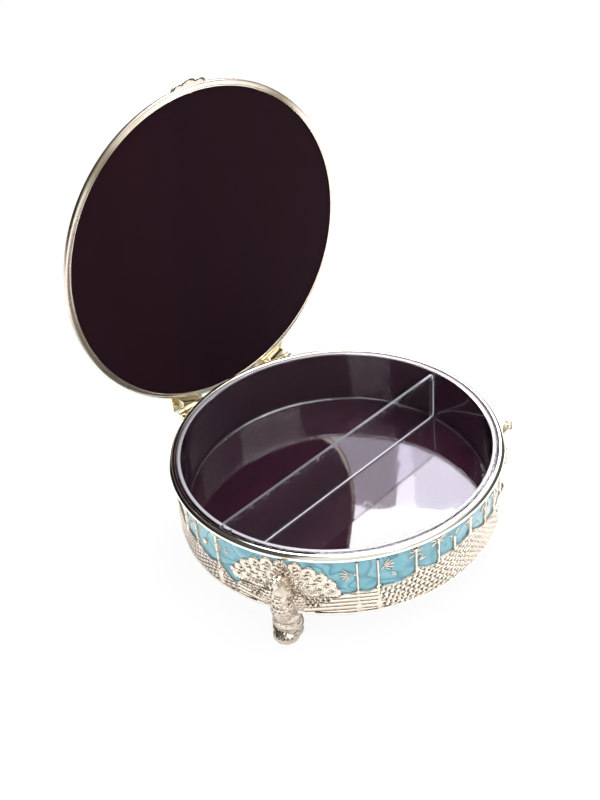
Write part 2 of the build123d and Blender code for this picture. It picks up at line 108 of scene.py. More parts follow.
def set_sockets(node, **values):
    """Sets input sockets by name; an underscore stands for a space."""
    for name, value in values.items():
        node.inputs[name.replace("_", " ")].default_value = value


def new_node(tree, kind, **values):
    """A shader node. Names with a capital are its input sockets, and the others its settings."""
    node = tree.nodes.new(f"ShaderNode{kind}")
    for name, value in values.items():
        if name[0].isupper():
            set_sockets(node, **{name: value})
        else:
            setattr(node, name, value)
    return node


def wire(tree, *links):
    """Joins sockets; a link is a node and its output, then the next node and its input."""
    for source, output, target, socket in links:
        tree.links.new(source.outputs[output], target.inputs[socket])


def keep_mesh(name, mesh, material):
    piece = bpy.data.objects.new(name, mesh)
    bpy.context.scene.collection.objects.link(piece)
    if material:
        mesh.materials.append(material)
    return piece


def pointing(azimuth, elevation):
    """The unit vector at this azimuth from +X and this elevation, in degrees."""
    a, e = math.radians(azimuth), math.radians(elevation)
    return Vector((math.cos(a) * math.cos(e), math.sin(a) * math.cos(e), math.sin(e)))


table_mesh = bpy.data.meshes.new("table")
corners = [(-TABLE_HALF, -TABLE_HALF, 0), (TABLE_HALF, -TABLE_HALF, 0),
           (TABLE_HALF, TABLE_HALF, 0), (-TABLE_HALF, TABLE_HALF, 0)]
table_mesh.from_pydata(corners, [], [(0, 1, 2, 3)])
table_white, tree, shader = new_material("table_white")
set_sockets(shader, Base_Color=TABLE_WHITE, Roughness=0.9, Specular_IOR_Level=0.1)
glow = new_node(tree, "Emission", Color=(1, 1, 1, 1), Strength=1.0)
seen = new_node(tree, "LightPath")
share = new_node(tree, "Math", operation="MULTIPLY")
share.inputs[1].default_value = TABLE_GLOW
blend = new_node(tree, "MixShader")
wire(tree, (seen, "Is Camera Ray", share, 0), (share, 0, blend, 0), (shader, 0, blend, 1),
     (glow, 0, blend, 2), (blend, 0, tree.nodes["Material Output"], 0))
table = keep_mesh("table", table_mesh, table_white)

room = bpy.data.worlds.new("room")
room.use_nodes = True
bpy.context.scene.world = room
tree = room.node_tree
plain = tree.nodes["Background"]
set_sockets(plain, Color=(1, 1, 1, 1), Strength=ROOM_LIGHT)
white = new_node(tree, "Background", Color=(1, 1, 1, 1), Strength=ROOM_SEEN)
mirrored = new_node(tree, "Background")
direction = new_node(tree, "TexCoord")
height_of = new_node(tree, "SeparateXYZ")
by_height = new_node(tree, "MapRange", interpolation_type="SMOOTHSTEP", From_Min=DARK_UNTIL,
                     From_Max=BRIGHT_FROM, To_Min=ROOM_LOW, To_Max=ROOM_HIGH)
toward_dark = new_node(tree, "VectorMath", operation="DOT_PRODUCT")
toward_dark.inputs[1].default_value = pointing(*DARK_SIDE_WAY)
unlit = new_node(tree, "MapRange", interpolation_type="SMOOTHSTEP", From_Min=DARK_SIDE_EDGE,
                 From_Max=DARK_SIDE_FULL, To_Min=1.0, To_Max=ROOM_UNLIT)
level = new_node(tree, "Math", operation="MULTIPLY")
seen = new_node(tree, "LightPath")
either = new_node(tree, "Math", operation="MAXIMUM")
blend_mirrored = new_node(tree, "MixShader")
blend = new_node(tree, "MixShader")
wire(tree, (direction, "Generated", height_of, 0), (height_of, "Z", by_height, "Value"),
     (direction, "Generated", toward_dark, 0), (toward_dark, "Value", unlit, "Value"),
     (by_height, "Result", level, 0), (unlit, "Result", level, 1), (level, 0, mirrored, "Strength"),
     (seen, "Is Glossy Ray", blend_mirrored, 0), (plain, 0, blend_mirrored, 1),
     (mirrored, 0, blend_mirrored, 2), (seen, "Is Camera Ray", either, 0),
     (seen, "Is Transmission Ray", either, 1), (either, 0, blend, 0), (blend_mirrored, 0, blend, 1),
     (white, 0, blend, 2), (blend, 0, tree.nodes["World Output"], 0))

# name, azimuth from +X, elevation, distance, width, height, power in watts, colour
LAMPS = (
    ("window", 42, 60, 1.5, 0.95, 0.95, 26, (1, 1, 1)),
    ("sill_right", 30, 41.2, 1.5, 0.62, 0.13, 1.7, (0.88, 0.86, 1.0)),
    ("sill_left", 57, 41.1, 1.5, 0.5, 0.12, 0.42, (0.95, 0.88, 1.0)),
    ("far_wall", 30, 35.5, 1.5, 0.55, 0.18, 0.95, (0.92, 0.86, 1.0)),
    ("far_corner", 53, 35.5, 1.5, 0.6, 0.18, 0.5, (0.96, 0.89, 1.0)),
    ("ceiling", -70, 66, 1.6, 1.1, 1.1, 16, (1, 1, 1)),
    ("left_fill", 200, 30, 1.6, 0.8, 0.8, 9, (1, 1, 1)),
)
for name, azimuth, elevation, distance, wide, tall, power, colour in LAMPS:
    lamp = bpy.data.lights.new(name, "AREA")
    lamp.shape = "RECTANGLE"
    lamp.size = wide
    lamp.size_y = tall
    lamp.energy = power
    lamp.color = colour
    lit = bpy.data.objects.new(name, lamp)
    lit.location = pointing(azimuth, elevation) * distance
    lit.rotation_euler = lit.location.to_track_quat("Z", "Y").to_euler()
    lit.visible_glossy = name != "left_fill"
    bpy.context.scene.collection.objects.link(lit)


# Body casting
# A zinc alloy ring, cast and turned, plated pale champagne silver and polished. Its rim stands
# out over a hollow curve and a fine border line; a bead runs round its lower edge.
FOOT_HEIGHT = 22.0
WALL_RADIUS = 106.8
BORE_RADIUS = 105.6
BASE_TOP = 24.2
ENAMEL_TOP = 66.0
RIM_UNDERSIDE = 68.1
RIM_BROW = 108.3
RIM_SHOULDER = 69.9
BEAD_RADIUS = 108.3
LEDGE_RADIUS = 99.6
PLATE_TOP = 23.5
LEDGE_TOP = 25.0
FINE_TURNS = 720
# the sockets of a colour mix
FIRST_COLOUR, SECOND_COLOUR, MIXED = 6, 7, 2
CLOUDED, CLOUDED_CAST = 0.5, 0.15
RECESS_DULL = 0.25
PLATING = (0.93, 0.90, 0.83, 1)
PLATING_TONED = (0.72, 0.66, 0.55, 1)


def shade(mesh, degrees=32):
    """Smooth faces, with edges sharper than this angle kept sharp."""
    mesh.shade_smooth()
    mesh.set_sharp_from_angle(angle=math.radians(degrees))


def bend_round(before, corner, after, radius, steps=5):
    """The points of a rounded corner between two straight runs of a profile."""
    before, corner, after = (np.array(p, float) for p in (before, corner, after))
    back, ahead = before - corner, after - corner
    back, ahead = back / np.linalg.norm(back), ahead / np.linalg.norm(ahead)
    half = math.acos(float(np.clip(back @ ahead, -1, 1))) / 2
    run = radius / math.tan(half)
    middle = corner + (back + ahead) / np.linalg.norm(back + ahead) * radius / math.sin(half)
    start, stop = corner + back * run, corner + ahead * run
    first, last = start - middle, stop - middle
    turn = math.atan2(first[0] * last[1] - first[1] * last[0], first @ last)
    points = []
    for n in range(steps + 1):
        a = turn * n / steps
        points.append((
            middle[0] + first[0] * math.cos(a) - first[1] * math.sin(a),
            middle[1] + first[0] * math.sin(a) + first[1] * math.cos(a),
        ))
    return points


def rounded(profile, steps=5):
    """A closed profile of (radius, height, corner rounding) points with its corners rounded."""
    points = []
    for n, (r, z, rounding) in enumerate(profile):
        if rounding:
            before, after = profile[n - 1][:2], profile[(n + 1) % len(profile)][:2]
            points += bend_round(before, (r, z), after, rounding, steps)
        else:
            points.append((r, z))
    return points


def turned(name, points, material, turns=FINE_TURNS, closed=True):
    """A lathe-turned piece: the profile's points, in millimetres, swept round the box's axis."""
    count = len(points)
    angles = np.arange(turns) * 2 * math.pi / turns
    r, z = np.array(points, float).T
    x = np.outer(np.cos(angles), r)
    y = np.outer(np.sin(angles), r)
    verts = np.stack([x, y, np.broadcast_to(z, x.shape)], -1).reshape(-1, 3) * MM
    first = np.arange(turns)[:, None] * count
    second = np.roll(first, -1, axis=0)
    step = np.arange(count if closed else count - 1)[None]
    after = (step + 1) % count
    faces = np.stack([first + step, second + step, second + after, first + after], -1)
    mesh = bpy.data.meshes.new(name)
    mesh.from_pydata(verts.tolist(), [], faces.reshape(-1, 4).tolist())
    if min(r) < 1e-6:
        made = bmesh.new()
        made.from_mesh(mesh)
        bmesh.ops.remove_doubles(made, verts=made.verts, dist=1e-7)
        bmesh.ops.dissolve_degenerate(made, edges=made.edges, dist=1e-8)
        made.to_mesh(mesh)
        made.free()
    shade(mesh)
    return keep_mesh(name, mesh, material)


def new_group(name, takes, gives):
    """A shader node group with its sockets; returns the tree, its input and its output node."""
    tree = bpy.data.node_groups.new(name, "ShaderNodeTree")
    for socket, kind, value in takes:
        made = tree.interface.new_socket(socket, in_out="INPUT", socket_type=kind)
        made.default_value = value
    for socket, kind in gives:
        tree.interface.new_socket(socket, in_out="OUTPUT", socket_type=kind)
    return tree, tree.nodes.new("NodeGroupInput"), tree.nodes.new("NodeGroupOutput")


def use_group(tree, group, **values):
    return new_node(tree, "Group", node_tree=group, **values)


# Polish: faint cloudy patches and hairline scratches, as roughness and as height
polish, taken, given = new_group(
    "hand_polish",
    [("Least", "NodeSocketFloat", 0.06), ("Most", "NodeSocketFloat", 0.2),
     ("Patch", "NodeSocketFloat", 40.0), ("Scratch", "NodeSocketFloat", 900.0)],
    [("Roughness", "NodeSocketFloat"), ("Height", "NodeSocketFloat")],
)
where = new_node(polish, "TexCoord")
patches = new_node(polish, "TexNoise", Detail=4.0, Roughness=0.6)
spread = new_node(polish, "MapRange", From_Min=0.3, From_Max=0.75)
hairs = new_node(polish, "TexNoise", Detail=2.0)
wire(polish, (where, "Object", patches, "Vector"), (taken, "Patch", patches, "Scale"),
     (patches, "Fac", spread, "Value"), (taken, "Least", spread, "To Min"),
     (taken, "Most", spread, "To Max"), (where, "Object", hairs, "Vector"),
     (taken, "Scratch", hairs, "Scale"), (spread, "Result", given, "Roughness"),
     (hairs, "Fac", given, "Height"))


def colour_mix(tree, first, second):
    """A mix from the first colour to the second, by its factor socket."""
    node = new_node(tree, "Mix", data_type="RGBA")
    node.inputs[FIRST_COLOUR].default_value = first
    node.inputs[SECOND_COLOUR].default_value = second
    return node


def add_bump(tree, shader, source, output, strength, distance):
    """Raises the shader's surface by a node's output, up to this distance in metres."""
    raised = new_node(tree, "Bump", Strength=strength, Distance=distance)
    wire(tree, (source, output, raised, "Height"), (raised, "Normal", shader, "Normal"))


def plated_metal(name, bright, toned, least, most, bump=0.02, recess=False):
    """Plated casting: polished, cloudy in places, and painted darker in its recesses, as shade, if
    it has any.
    """
    material, tree, shader = new_material(name)
    set_sockets(shader, Metallic=1.0)
    worn = use_group(tree, polish, Least=least, Most=most)
    tint = colour_mix(tree, bright, toned)
    cloudy = new_node(tree, "MapRange", From_Min=least, From_Max=most,
                      To_Max=CLOUDED_CAST if recess else CLOUDED)
    wire(tree, (worn, "Roughness", cloudy, "Value"))
    if recess:
        # Painted shade: the "recess" layer mixes the plating towards its toned colour.
        depth = new_node(tree, "Attribute", attribute_name="recess")
        shade_and_cloud_share = new_node(tree, "Math", operation="ADD", use_clamp=True)
        wire(tree, (depth, "Fac", shade_and_cloud_share, 0), (cloudy, "Result", shade_and_cloud_share, 1),
             (shade_and_cloud_share, 0, tint, 0))
        rough = new_node(tree, "Math", operation="MULTIPLY_ADD")
        rough.inputs[1].default_value = RECESS_DULL
        wire(tree, (depth, "Fac", rough, 0), (worn, "Roughness", rough, 2),
             (rough, 0, shader, "Roughness"))
    else:
        wire(tree, (cloudy, "Result", tint, 0), (worn, "Roughness", shader, "Roughness"))
    wire(tree, (tint, MIXED, shader, "Base Color"))
    add_bump(tree, shader, worn, "Height", bump, 0.0002)
    return material


polished_plating = plated_metal("polished_plating", PLATING, PLATING_TONED, 0.04, 0.12)

# Out from the wall under the rim, then round the border line
cove = [
    (108.6, RIM_UNDERSIDE - 0.45), (107.7, RIM_UNDERSIDE - 0.95),
    (107.15, RIM_UNDERSIDE - 1.5), (106.9, ENAMEL_TOP + 0.15), (107.2, ENAMEL_TOP - 0.1),
    (107.33, ENAMEL_TOP - 0.45), (107.2, ENAMEL_TOP - 0.8), (WALL_RADIUS, ENAMEL_TOP - 0.95),
]
body_profile = rounded([
    (BORE_RADIUS, LEDGE_TOP, 0), (BORE_RADIUS, RIM_TOP, 1.4), (RIM_BROW, RIM_TOP, 2.6),
    (BOX_RADIUS, RIM_SHOULDER, 0.6), (BOX_RADIUS, RIM_UNDERSIDE, 0.7),
], 8) + cove + rounded([
    (WALL_RADIUS, BASE_TOP, 0), (BEAD_RADIUS - 0.2, BASE_TOP, 0.5), (BEAD_RADIUS, FOOT_HEIGHT, 0.5),
    (BORE_RADIUS, FOOT_HEIGHT, 0), (BORE_RADIUS, PLATE_TOP, 0), (LEDGE_RADIUS, PLATE_TOP, 0),
    (LEDGE_RADIUS, LEDGE_TOP, 0),
])
body_ring = turned("body_ring", body_profile, polished_plating)
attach(body_ring, "root")
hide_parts("wall_casting")


# Enamel
# Turquoise enamel, stirred into paler and deeper swirls, laid into the cells between the
# castings and left glossy. One band runs behind the castings and shows between them.
ENAMEL_RADIUS = 107.4
ENAMEL_RISE = ENAMEL_RADIUS - WALL_RADIUS
ENAMEL_LOW = 29.0
ENAMEL_HIGH = ENAMEL_TOP - 0.9
ENAMEL_PALE = (0.18, 0.40, 0.46, 1)
ENAMEL_MID = (0.085, 0.312, 0.372, 1)
ENAMEL_DEEP = (0.028, 0.165, 0.225, 1)
HINGE_CENTRE = 38.5
HINGE_WIDTH = 25.0
HINGE_ROOM_LOW = 54.35
FOLDS = 11.0

stirred, taken, given = new_group(
    "stirred_enamel",
    [("Pale", "NodeSocketColor", ENAMEL_PALE), ("Mid", "NodeSocketColor", ENAMEL_MID),
     ("Deep", "NodeSocketColor", ENAMEL_DEEP), ("Scale", "NodeSocketFloat", 26.0)],
    [("Color", "NodeSocketColor"), ("Height", "NodeSocketFloat")],
)
where = new_node(stirred, "TexCoord")
clouds = new_node(stirred, "TexNoise", Detail=3.0, Roughness=0.5, Distortion=1.6)
swirls = new_node(stirred, "TexNoise", Detail=1.0, Roughness=0.35, Distortion=1.4)
folds = new_node(stirred, "Math", operation="MULTIPLY")
folds.inputs[1].default_value = FOLDS
fold = new_node(stirred, "Math", operation="FRACT")
streak = new_node(stirred, "MapRange", interpolation_type="SMOOTHSTEP", From_Min=0.45, From_Max=1.0,
                  To_Min=0.0, To_Max=0.8)
patch = new_node(stirred, "MapRange", From_Min=0.38, From_Max=0.66)
pale_or_mid = new_node(stirred, "Mix", data_type="RGBA")
with_streaks = new_node(stirred, "Mix", data_type="RGBA")
wire(stirred, (where, "Object", clouds, "Vector"), (where, "Object", swirls, "Vector"),
     (taken, "Scale", clouds, "Scale"), (taken, "Scale", swirls, "Scale"),
     (swirls, "Fac", folds, 0), (folds, 0, fold, 0), (fold, 0, streak, "Value"),
     (clouds, "Fac", patch, "Value"), (patch, "Result", pale_or_mid, 0),
     (taken, "Mid", pale_or_mid, FIRST_COLOUR), (taken, "Pale", pale_or_mid, SECOND_COLOUR),
     (streak, "Result", with_streaks, 0), (pale_or_mid, MIXED, with_streaks, FIRST_COLOUR),
     (taken, "Deep", with_streaks, SECOND_COLOUR), (with_streaks, MIXED, given, "Color"),
     (clouds, "Fac", given, "Height"))


def enamelled(name, **colours):
    material, tree, shader = new_material(name)
    set_sockets(shader, Roughness=0.22, Coat_Weight=0.6, Coat_Roughness=0.05)
    mixed = use_group(tree, stirred, **colours)
    wire(tree, (mixed, "Color", shader, "Base Color"))
    add_bump(tree, shader, mixed, "Height", 0.25, 0.0006)
    return material


def wall_point(degrees, z, rise):
    """A point at this angle and height, this far out from the plain wall, in metres."""
    a = np.radians(degrees)
    r = WALL_RADIUS + rise
    return np.stack([r * np.cos(a), r * np.sin(a), z + 0 * r], -1) * MM


def in_hinge_room(points):
    """Whether points lie where a hinge leaf is let into the wall."""
    x, y, z = (points[..., n] / MM for n in range(3))
    beside = np.abs(np.abs(x) - HINGE_CENTRE) < HINGE_WIDTH / 2
    return beside & (y > 0) & (z > HINGE_ROOM_LOW)


def set_layer(mesh, name, values):
    """A value for each vertex, which the material reads by this name."""
    held = mesh.attributes.new(name, "FLOAT", "POINT")
    held.data.foreach_set("value", values.astype(np.float32))


def grid_mesh(name, points, keep, material, layers=None):
    """A mesh of the grid's cells whose four corners are all kept."""
    rows, columns = keep.shape
    whole = keep[:-1, :-1] & keep[1:, :-1] & keep[:-1, 1:] & keep[1:, 1:]
    number = np.arange(rows * columns).reshape(rows, columns)
    quads = np.stack([number[:-1, :-1], number[:-1, 1:], number[1:, 1:], number[1:, :-1]], -1)
    quads = quads[whole]
    used, quads = np.unique(quads, return_inverse=True)
    mesh = bpy.data.meshes.new(name)
    mesh.from_pydata(points.reshape(-1, 3)[used].tolist(), [], quads.reshape(-1, 4).tolist())
    for layer, values in (layers or {}).items():
        set_layer(mesh, layer, values.reshape(-1)[used])
    mesh.shade_smooth()
    return keep_mesh(name, mesh, material)


enamel_material = enamelled("turquoise_enamel")
angle_grid, level_grid = np.meshgrid(np.linspace(0, 360, FINE_TURNS + 1),
                                     np.linspace(ENAMEL_LOW, ENAMEL_HIGH, 24))
band_rise = np.full(angle_grid.shape, ENAMEL_RISE)
band_rise[0] = band_rise[-1] = 0
band_points = wall_point(angle_grid, level_grid, band_rise)
enamel_band = grid_mesh("enamel_band", band_points, ~in_hinge_room(band_points), enamel_material)
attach(enamel_band, "root")
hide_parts("enamel")


# Bamboo panels
# Three zinc castings, alike, bent round the wall from foot to foot. Each has a ground of small
# slanted scales, bamboo canes with leaves over the enamel, and long feathers beside the bird.
FEET = (("front_left", 210), ("front_right", 330), ("rear", 450))
PANELS = (("front", 210), ("right", 330), ("left", 450))
CELL = 0.26
UNDER = 0.1
EDGE = 0.7
GROUND_RISE = 1.0
GROUND_PAINTED_SHADE = 0.14
GROUND_HIGHEST = 1.25
SCALE_SLANT, SCALE_LONG, SCALE_WIDE = 16, 4.0, 2.9
FEATHER_TOP, FEATHER_PITCH = 39.8, 3.05
HOLE_START, HOLE_PITCH = (10.2, 38.0), (3.1, 2.35)
HOLE_ROWS, FIRST_ROW_HOLES = 5, 7
GROOVE_LEVEL = 25.0
JOINT_PITCH = 7.4
LEAF_WIDE, LEAF_RISE = 0.85, 1.3
LEAF_STALK = 1.2
CANE_RISE = 2.1
CANE_HALF = 0.66
# degrees past the foot, and height below the rim in box radii
GROUND_EDGE = (
    (0, 0.30), (17, 0.31), (19.5, 0.285), (21.7, 0.285), (23.4, 0.272), (24.2, 0.255),
    (25, 0.272), (27.5, 0.28), (29.6, 0.27), (30.8, 0.225), (32.2, 0.262), (34, 0.268),
    (38, 0.266), (41, 0.25), (42.6, 0.235), (43.6, 0.185), (45, 0.205), (48, 0.235),
    (51, 0.24), (52.2, 0.205), (53.5, 0.212), (58, 0.21), (59, 0.19), (61, 0.205),
    (65, 0.19), (66.6, 0.155), (68.5, 0.18), (72, 0.215), (76, 0.24), (80, 0.25),
    (84, 0.255), (86, 0.272), (90, 0.292), (93.5, 0.272), (96.5, 0.272), (98, 0.31),
    (99.5, 0.338), (101.8, 0.352), (103.5, 0.33), (105, 0.31), (120, 0.30),
)
# degrees past the foot, lower and upper end below the rim in box radii
CANES = (
    (24.2, 0.44, 0.045), (30.8, 0.44, 0.045), (43.6, 0.24, 0.045), (52, 0.22, 0.05),
    (58.8, 0.21, 0.115), (66.6, 0.2, 0.05), (76, 0.26, 0.05), (84, 0.28, 0.1), (95, 0.45, 0.05),
)
CANE_FEET = ((24.2, 0.4, 1.9, 5.6), (30.8, 0.4, 1.9, 5.6), (95, 0.38, 2.4, 8.0))
# degrees past the foot, height below the rim, leaf headings in degrees, leaf length
SPRIGS = (
    (22.3, 0.148, (136, 160, 184, 206, 232), 6.2), (22.3, 0.148, (0,), 2.4),
    (32.4, 0.12, (54, 30, 8, -16, -40), 6.0), (31.6, 0.15, (60,), 4.0),
    (43.6, 0.095, (30, 62, 118, 150, -35, 210), 4.4), (44.0, 0.16, (12, 40), 4.6),
    (52, 0.078, (62, 118, 205, -22, 160, 18), 4.6), (58.8, 0.115, (48, 150), 4.4),
    (66.6, 0.08, (65, 122, 200, 240, -20), 4.4), (76, 0.085, (78, 108, 215), 5.2),
    (77, 0.165, (25, 48), 4.8), (84, 0.115, (60, 118, 190), 4.6), (37.4, 0.2, (172, 150), 4.0),
    (97.4, 0.145, (150, 182, 212, 32, -8), 4.4), (95.4, 0.09, (30, 150), 4.0),
)
FLOWERS = ((101.3, 0.25), (88.5, 0.18))


def below_rim(share):
    return RIM_TOP - np.asarray(share) * BOX_RADIUS


def along_wall(degrees):
    return np.radians(degrees) * WALL_RADIUS


def mound(distance, rise, foot=EDGE):
    """A rounded mound where distance is under 1, from the height foot to this rise."""
    return np.where(distance < 1, foot + (rise - foot) * np.sqrt(np.clip(1 - distance**2, 0, 1)),
                    UNDER)


def leaf(s, z, at, heading, length, width, rise):
    """A pointed leaf from its stalk at this place."""
    a = math.radians(heading)
    ds, dz = s - at[0], z - at[1]
    far = (ds * math.cos(a) + dz * math.sin(a)) / length
    across = np.abs(dz * math.cos(a) - ds * math.sin(a))
    half = width / 2 * np.sqrt(np.sin(math.pi * np.clip(far, 0, 1) ** 0.8)) + 1e-6
    distance = np.where((far > 0) & (far < 1), across / half, 2)
    return mound(distance, rise, rise - 0.15)


def softened(field, reach):
    """The mean of the field over a square of cells, this many each way."""
    for axis in (0, 1):
        edges = [(reach + 1, reach) if n == axis else (0, 0) for n in (0, 1)]
        total = np.cumsum(np.pad(field, edges, mode="edge"), axis=axis)
        width = 2 * reach + 1
        upper = np.take(total, range(width, total.shape[axis]), axis=axis)
        lower = np.take(total, range(total.shape[axis] - width), axis=axis)
        field = (upper - lower) / width
    return field


def scales(s, z, slant, pitch_s, pitch_z, rise):
    """Rows of small overlapping scales, each with a raised edge, and a slanted pit after it."""
    a = math.radians(slant)
    wander = 0.8 * np.sin(s / 7.3) + 0.6 * np.sin(z / 4.1 + s / 11)
    row_way = (z * math.cos(a) - s * math.sin(a) + wander) / pitch_z
    row = np.floor(row_way)
    far = (s * math.cos(a) + z * math.sin(a)) / pitch_s + 0.5 * (row % 2) + 0.1 * np.sin(row * 2.3)
    far, across = far - np.floor(far) - 0.5, row_way - row - 0.5
    d = np.hypot(far / 0.5, (across + 0.16) / 0.62)
    scale = rise + 0.55 * np.sqrt(np.clip(1 - d**2, 0, 1)) + 0.3 * np.exp(-(((d - 0.8) / 0.14) ** 2))
    slanted = far - 0.35 * across
    pit = np.hypot((slanted - np.where(far > 0, 0.42, -0.58)) / 0.17, (across - 0.12) / 0.36)
    return np.where(pit < 1, np.minimum(scale, rise - 1.0 + 0.6 * pit**2), scale)


def long_feathers(x, z):
    """Broad smooth feathers that sweep out beside the bird, close to level."""
    bow = 0.004 * (x - 40) ** 2
    lane = (FEATHER_TOP - z - bow) / FEATHER_PITCH
    across = lane - np.floor(lane) - 0.5
    barbs = 0.04 * np.sin(5.2 * (x - 9 * np.abs(across)))
    return GROUND_RISE + 0.85 * np.sqrt(np.clip(1 - (across / 0.52) ** 2, 0, 1)) + barbs


def pierced(x, z, height):
    """Rows of holes with a raised lip under each, between the bird and the long feathers."""
    for row in range(HOLE_ROWS):
        for n in range(FIRST_ROW_HOLES - row):
            at = (HOLE_START[0] + HOLE_PITCH[0] * (n + 0.5 * (row % 2)),
                  HOLE_START[1] - HOLE_PITCH[1] * row)
            size = 1.05 - 0.13 * row
            d = np.hypot((x - at[0]) / 0.9, z - at[1]) / size
            lip = 0.4 * np.exp(-((d - 1.5) / 0.35) ** 2) * (z < at[1])
            height = height + lip
            height = np.where(d < 1.1, np.minimum(height, -0.3 + 0.9 * d**2), height)
    return height


def from_joint(along, pitch):
    """How far each place is from the nearest joint of a cane."""
    joint = along / pitch
    return np.abs(joint - np.round(joint)) * pitch


def swollen(half, joint):
    """Half the cane's width, swollen by a third at its joints."""
    return half * (1 + 0.35 * np.exp(-((joint / 0.8) ** 2)))


def panel_height(u, z):
    """Height of a panel's casting over the plain wall, in millimetres."""
    s = along_wall(u)
    beside = np.minimum(s, along_wall(120) - s)
    edge = below_rim(np.interp(u, *zip(*GROUND_EDGE)))
    ground = scales(s, z, SCALE_SLANT, SCALE_LONG, SCALE_WIDE, GROUND_RISE + 0.1)
    reach = np.where(u < 60, along_wall(31), along_wall(17))
    ground = np.where(beside < reach, long_feathers(beside, z), ground)
    ground = np.where(beside < 31, pierced(beside, z, ground), ground)
    ground = np.maximum(ground, mound(np.abs(z - edge + 0.35) / 0.5, 1.75, GROUND_RISE))
    groove = np.abs(z - GROOVE_LEVEL) < 0.45
    groove = groove & (beside > along_wall(10)) & (beside < along_wall(34))
    ground = np.where(groove, 0.35, ground)
    height = np.where(z < edge, ground, UNDER)
    for at, low, high in CANES:
        low, high = below_rim(low), below_rim(high)
        joint = from_joint(z - low, JOINT_PITCH)
        d = np.abs(s - along_wall(at)) / swollen(CANE_HALF, joint)
        cane = mound(np.where((z > low) & (z < high), d, 2), CANE_RISE, 1.3)
        height = np.maximum(height, cane - 0.35 * (joint < 0.25) * (cane > EDGE))
    for at, level, wide, tall in CANE_FEET:
        d = np.hypot((s - along_wall(at)) / wide, (z - below_rim(level)) / tall)
        height = np.maximum(height, mound(d, 2.3))
    for at, level, headings, length in SPRIGS:
        for heading in headings:
            a = math.radians(heading)
            place = (along_wall(at) + LEAF_STALK * math.cos(a),
                     below_rim(level) + LEAF_STALK * math.sin(a))
            blade = leaf(s, z, place, heading, length, LEAF_WIDE, LEAF_RISE)
            height = np.maximum(height, blade)
    for at, level in FLOWERS:
        place = (along_wall(at), below_rim(level))
        for petal in range(5):
            height = np.maximum(height, leaf(s, z, place, 90 + 72 * petal, 2.4, 1.9, 1.6))
        d = np.hypot(s - place[0], z - place[1]) / 0.7
        height = np.maximum(height, mound(d, 1.9))
    return height


def recess_of(height):
    """How deep each place lies under what is round it, from 0 to 1."""
    near = softened(height, 4)
    wide = softened(height, 9)
    depth = (near - height - 0.04) / 0.8 + 0.5 * np.clip(wide - height, 0, 1)
    return np.clip(depth, 0, 1) ** 1.5


def grown_by_one(keep):
    """The kept cells and those next to them."""
    grown = keep.copy()
    grown[1:] |= keep[:-1]
    grown[:-1] |= keep[1:]
    grown[:, 1:] |= keep[:, :-1]
    grown[:, :-1] |= keep[:, 1:]
    return grown


def relief(name, start, u, z, height, material, node):
    """One casting bent round the wall, from its heights on a grid of degrees and millimetres."""
    points = wall_point(start + u, z, height)
    free = ~in_hinge_room(points)
    keep = grown_by_one((height > UNDER + 0.02) & free) & free
    # Painted shade: darker in the recesses, and a little darker over the low ground, so that the
    # raised canes and leaves show lighter.
    ground = GROUND_PAINTED_SHADE * ((height > ENAMEL_RISE) & (height < GROUND_HIGHEST))
    recess = recess_of(np.maximum(height, ENAMEL_RISE))
    layers = {"recess": np.clip(recess + ground, 0, 1)}
    piece = grid_mesh(name, points, keep, material, layers)
    piece.data.set_sharp_from_angle(angle=math.radians(38))
    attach(piece, "root")
    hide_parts(node)
    return piece


# The relief's darker colour serves both its cloudy polish and the painted shade in its recesses.
RELIEF_BRIGHT = (0.85, 0.755, 0.655, 1)
RELIEF_SHADE_AND_CLOUD = (0.29, 0.245, 0.175, 1)
relief_plating = plated_metal("relief_plating", RELIEF_BRIGHT, RELIEF_SHADE_AND_CLOUD, 0.15, 0.28,
                              bump=0.05, recess=True)
columns = int(along_wall(120) / CELL)
rows = int((ENAMEL_HIGH - BASE_TOP) / CELL)
panel_u, panel_z = np.meshgrid(np.linspace(0, 120, columns + 1),
                               np.linspace(BASE_TOP - 0.1, ENAMEL_HIGH, rows + 1))
panel_rise = panel_height(panel_u, panel_z)
for word, start in PANELS:
    relief(f"bamboo_panel_{word}", start, panel_u, panel_z, panel_rise, relief_plating,
           f"bamboo_{word}")


# Tail fans
# A peacock's raised tail above each foot, cast in zinc: five rows of feathers, each ending in
# an eye, with fine barbs between them, bent round the wall and overlapping the panels.
FAN_BASE = 38.5
FAN_HALF = 35.0
FAN_TALL = 26.4
FAN_TIP = 4.2
HOLE_FLOOR = 0.62
FAN_GRID_HALF = 36.5
FAN_GRID_LOW = 37.6
# share of the fan's size, number of feathers, half width of an eye, half length, first offset
FAN_ROWS = ((1.0, 11, 4.3, 4.7, 0.5), (0.79, 11, 3.4, 4.3, 0), (0.6, 9, 3.2, 4.2, 0.5),
            (0.41, 7, 2.9, 3.8, 0.5), (0.22, 4, 2.6, 3.2, 0.5))


def feather_eye(dx, dy, way, wide, tall, height):
    """One feather's eye laid over what is there: a scalloped rim, fine barbs, a ring, a bead."""
    far = (dx * math.cos(way) + dy * math.sin(way)) / tall
    side = (dy * math.cos(way) - dx * math.sin(way)) / wide
    turn = np.arctan2(side, far)
    d = np.hypot(far, side)
    inner = np.hypot(far + 0.1, side)
    plate = 1.15 + 0.3 * np.sqrt(np.clip(1 - d**2, 0, 1)) - 0.25 * np.clip(-far, 0, 1)
    plate = plate + 0.1 * np.cos(10 * turn) * np.clip((inner - 0.4) * 4, 0, 1) * (d < 0.8)
    plate = plate + 0.5 * np.exp(-(((d - 0.9) / 0.1) ** 2))
    plate = plate - 0.4 * np.exp(-(((inner - 0.38) / 0.11) ** 2))
    plate = plate + 0.6 * np.exp(-((inner / 0.22) ** 2))
    return np.where(d < 1, plate, height)


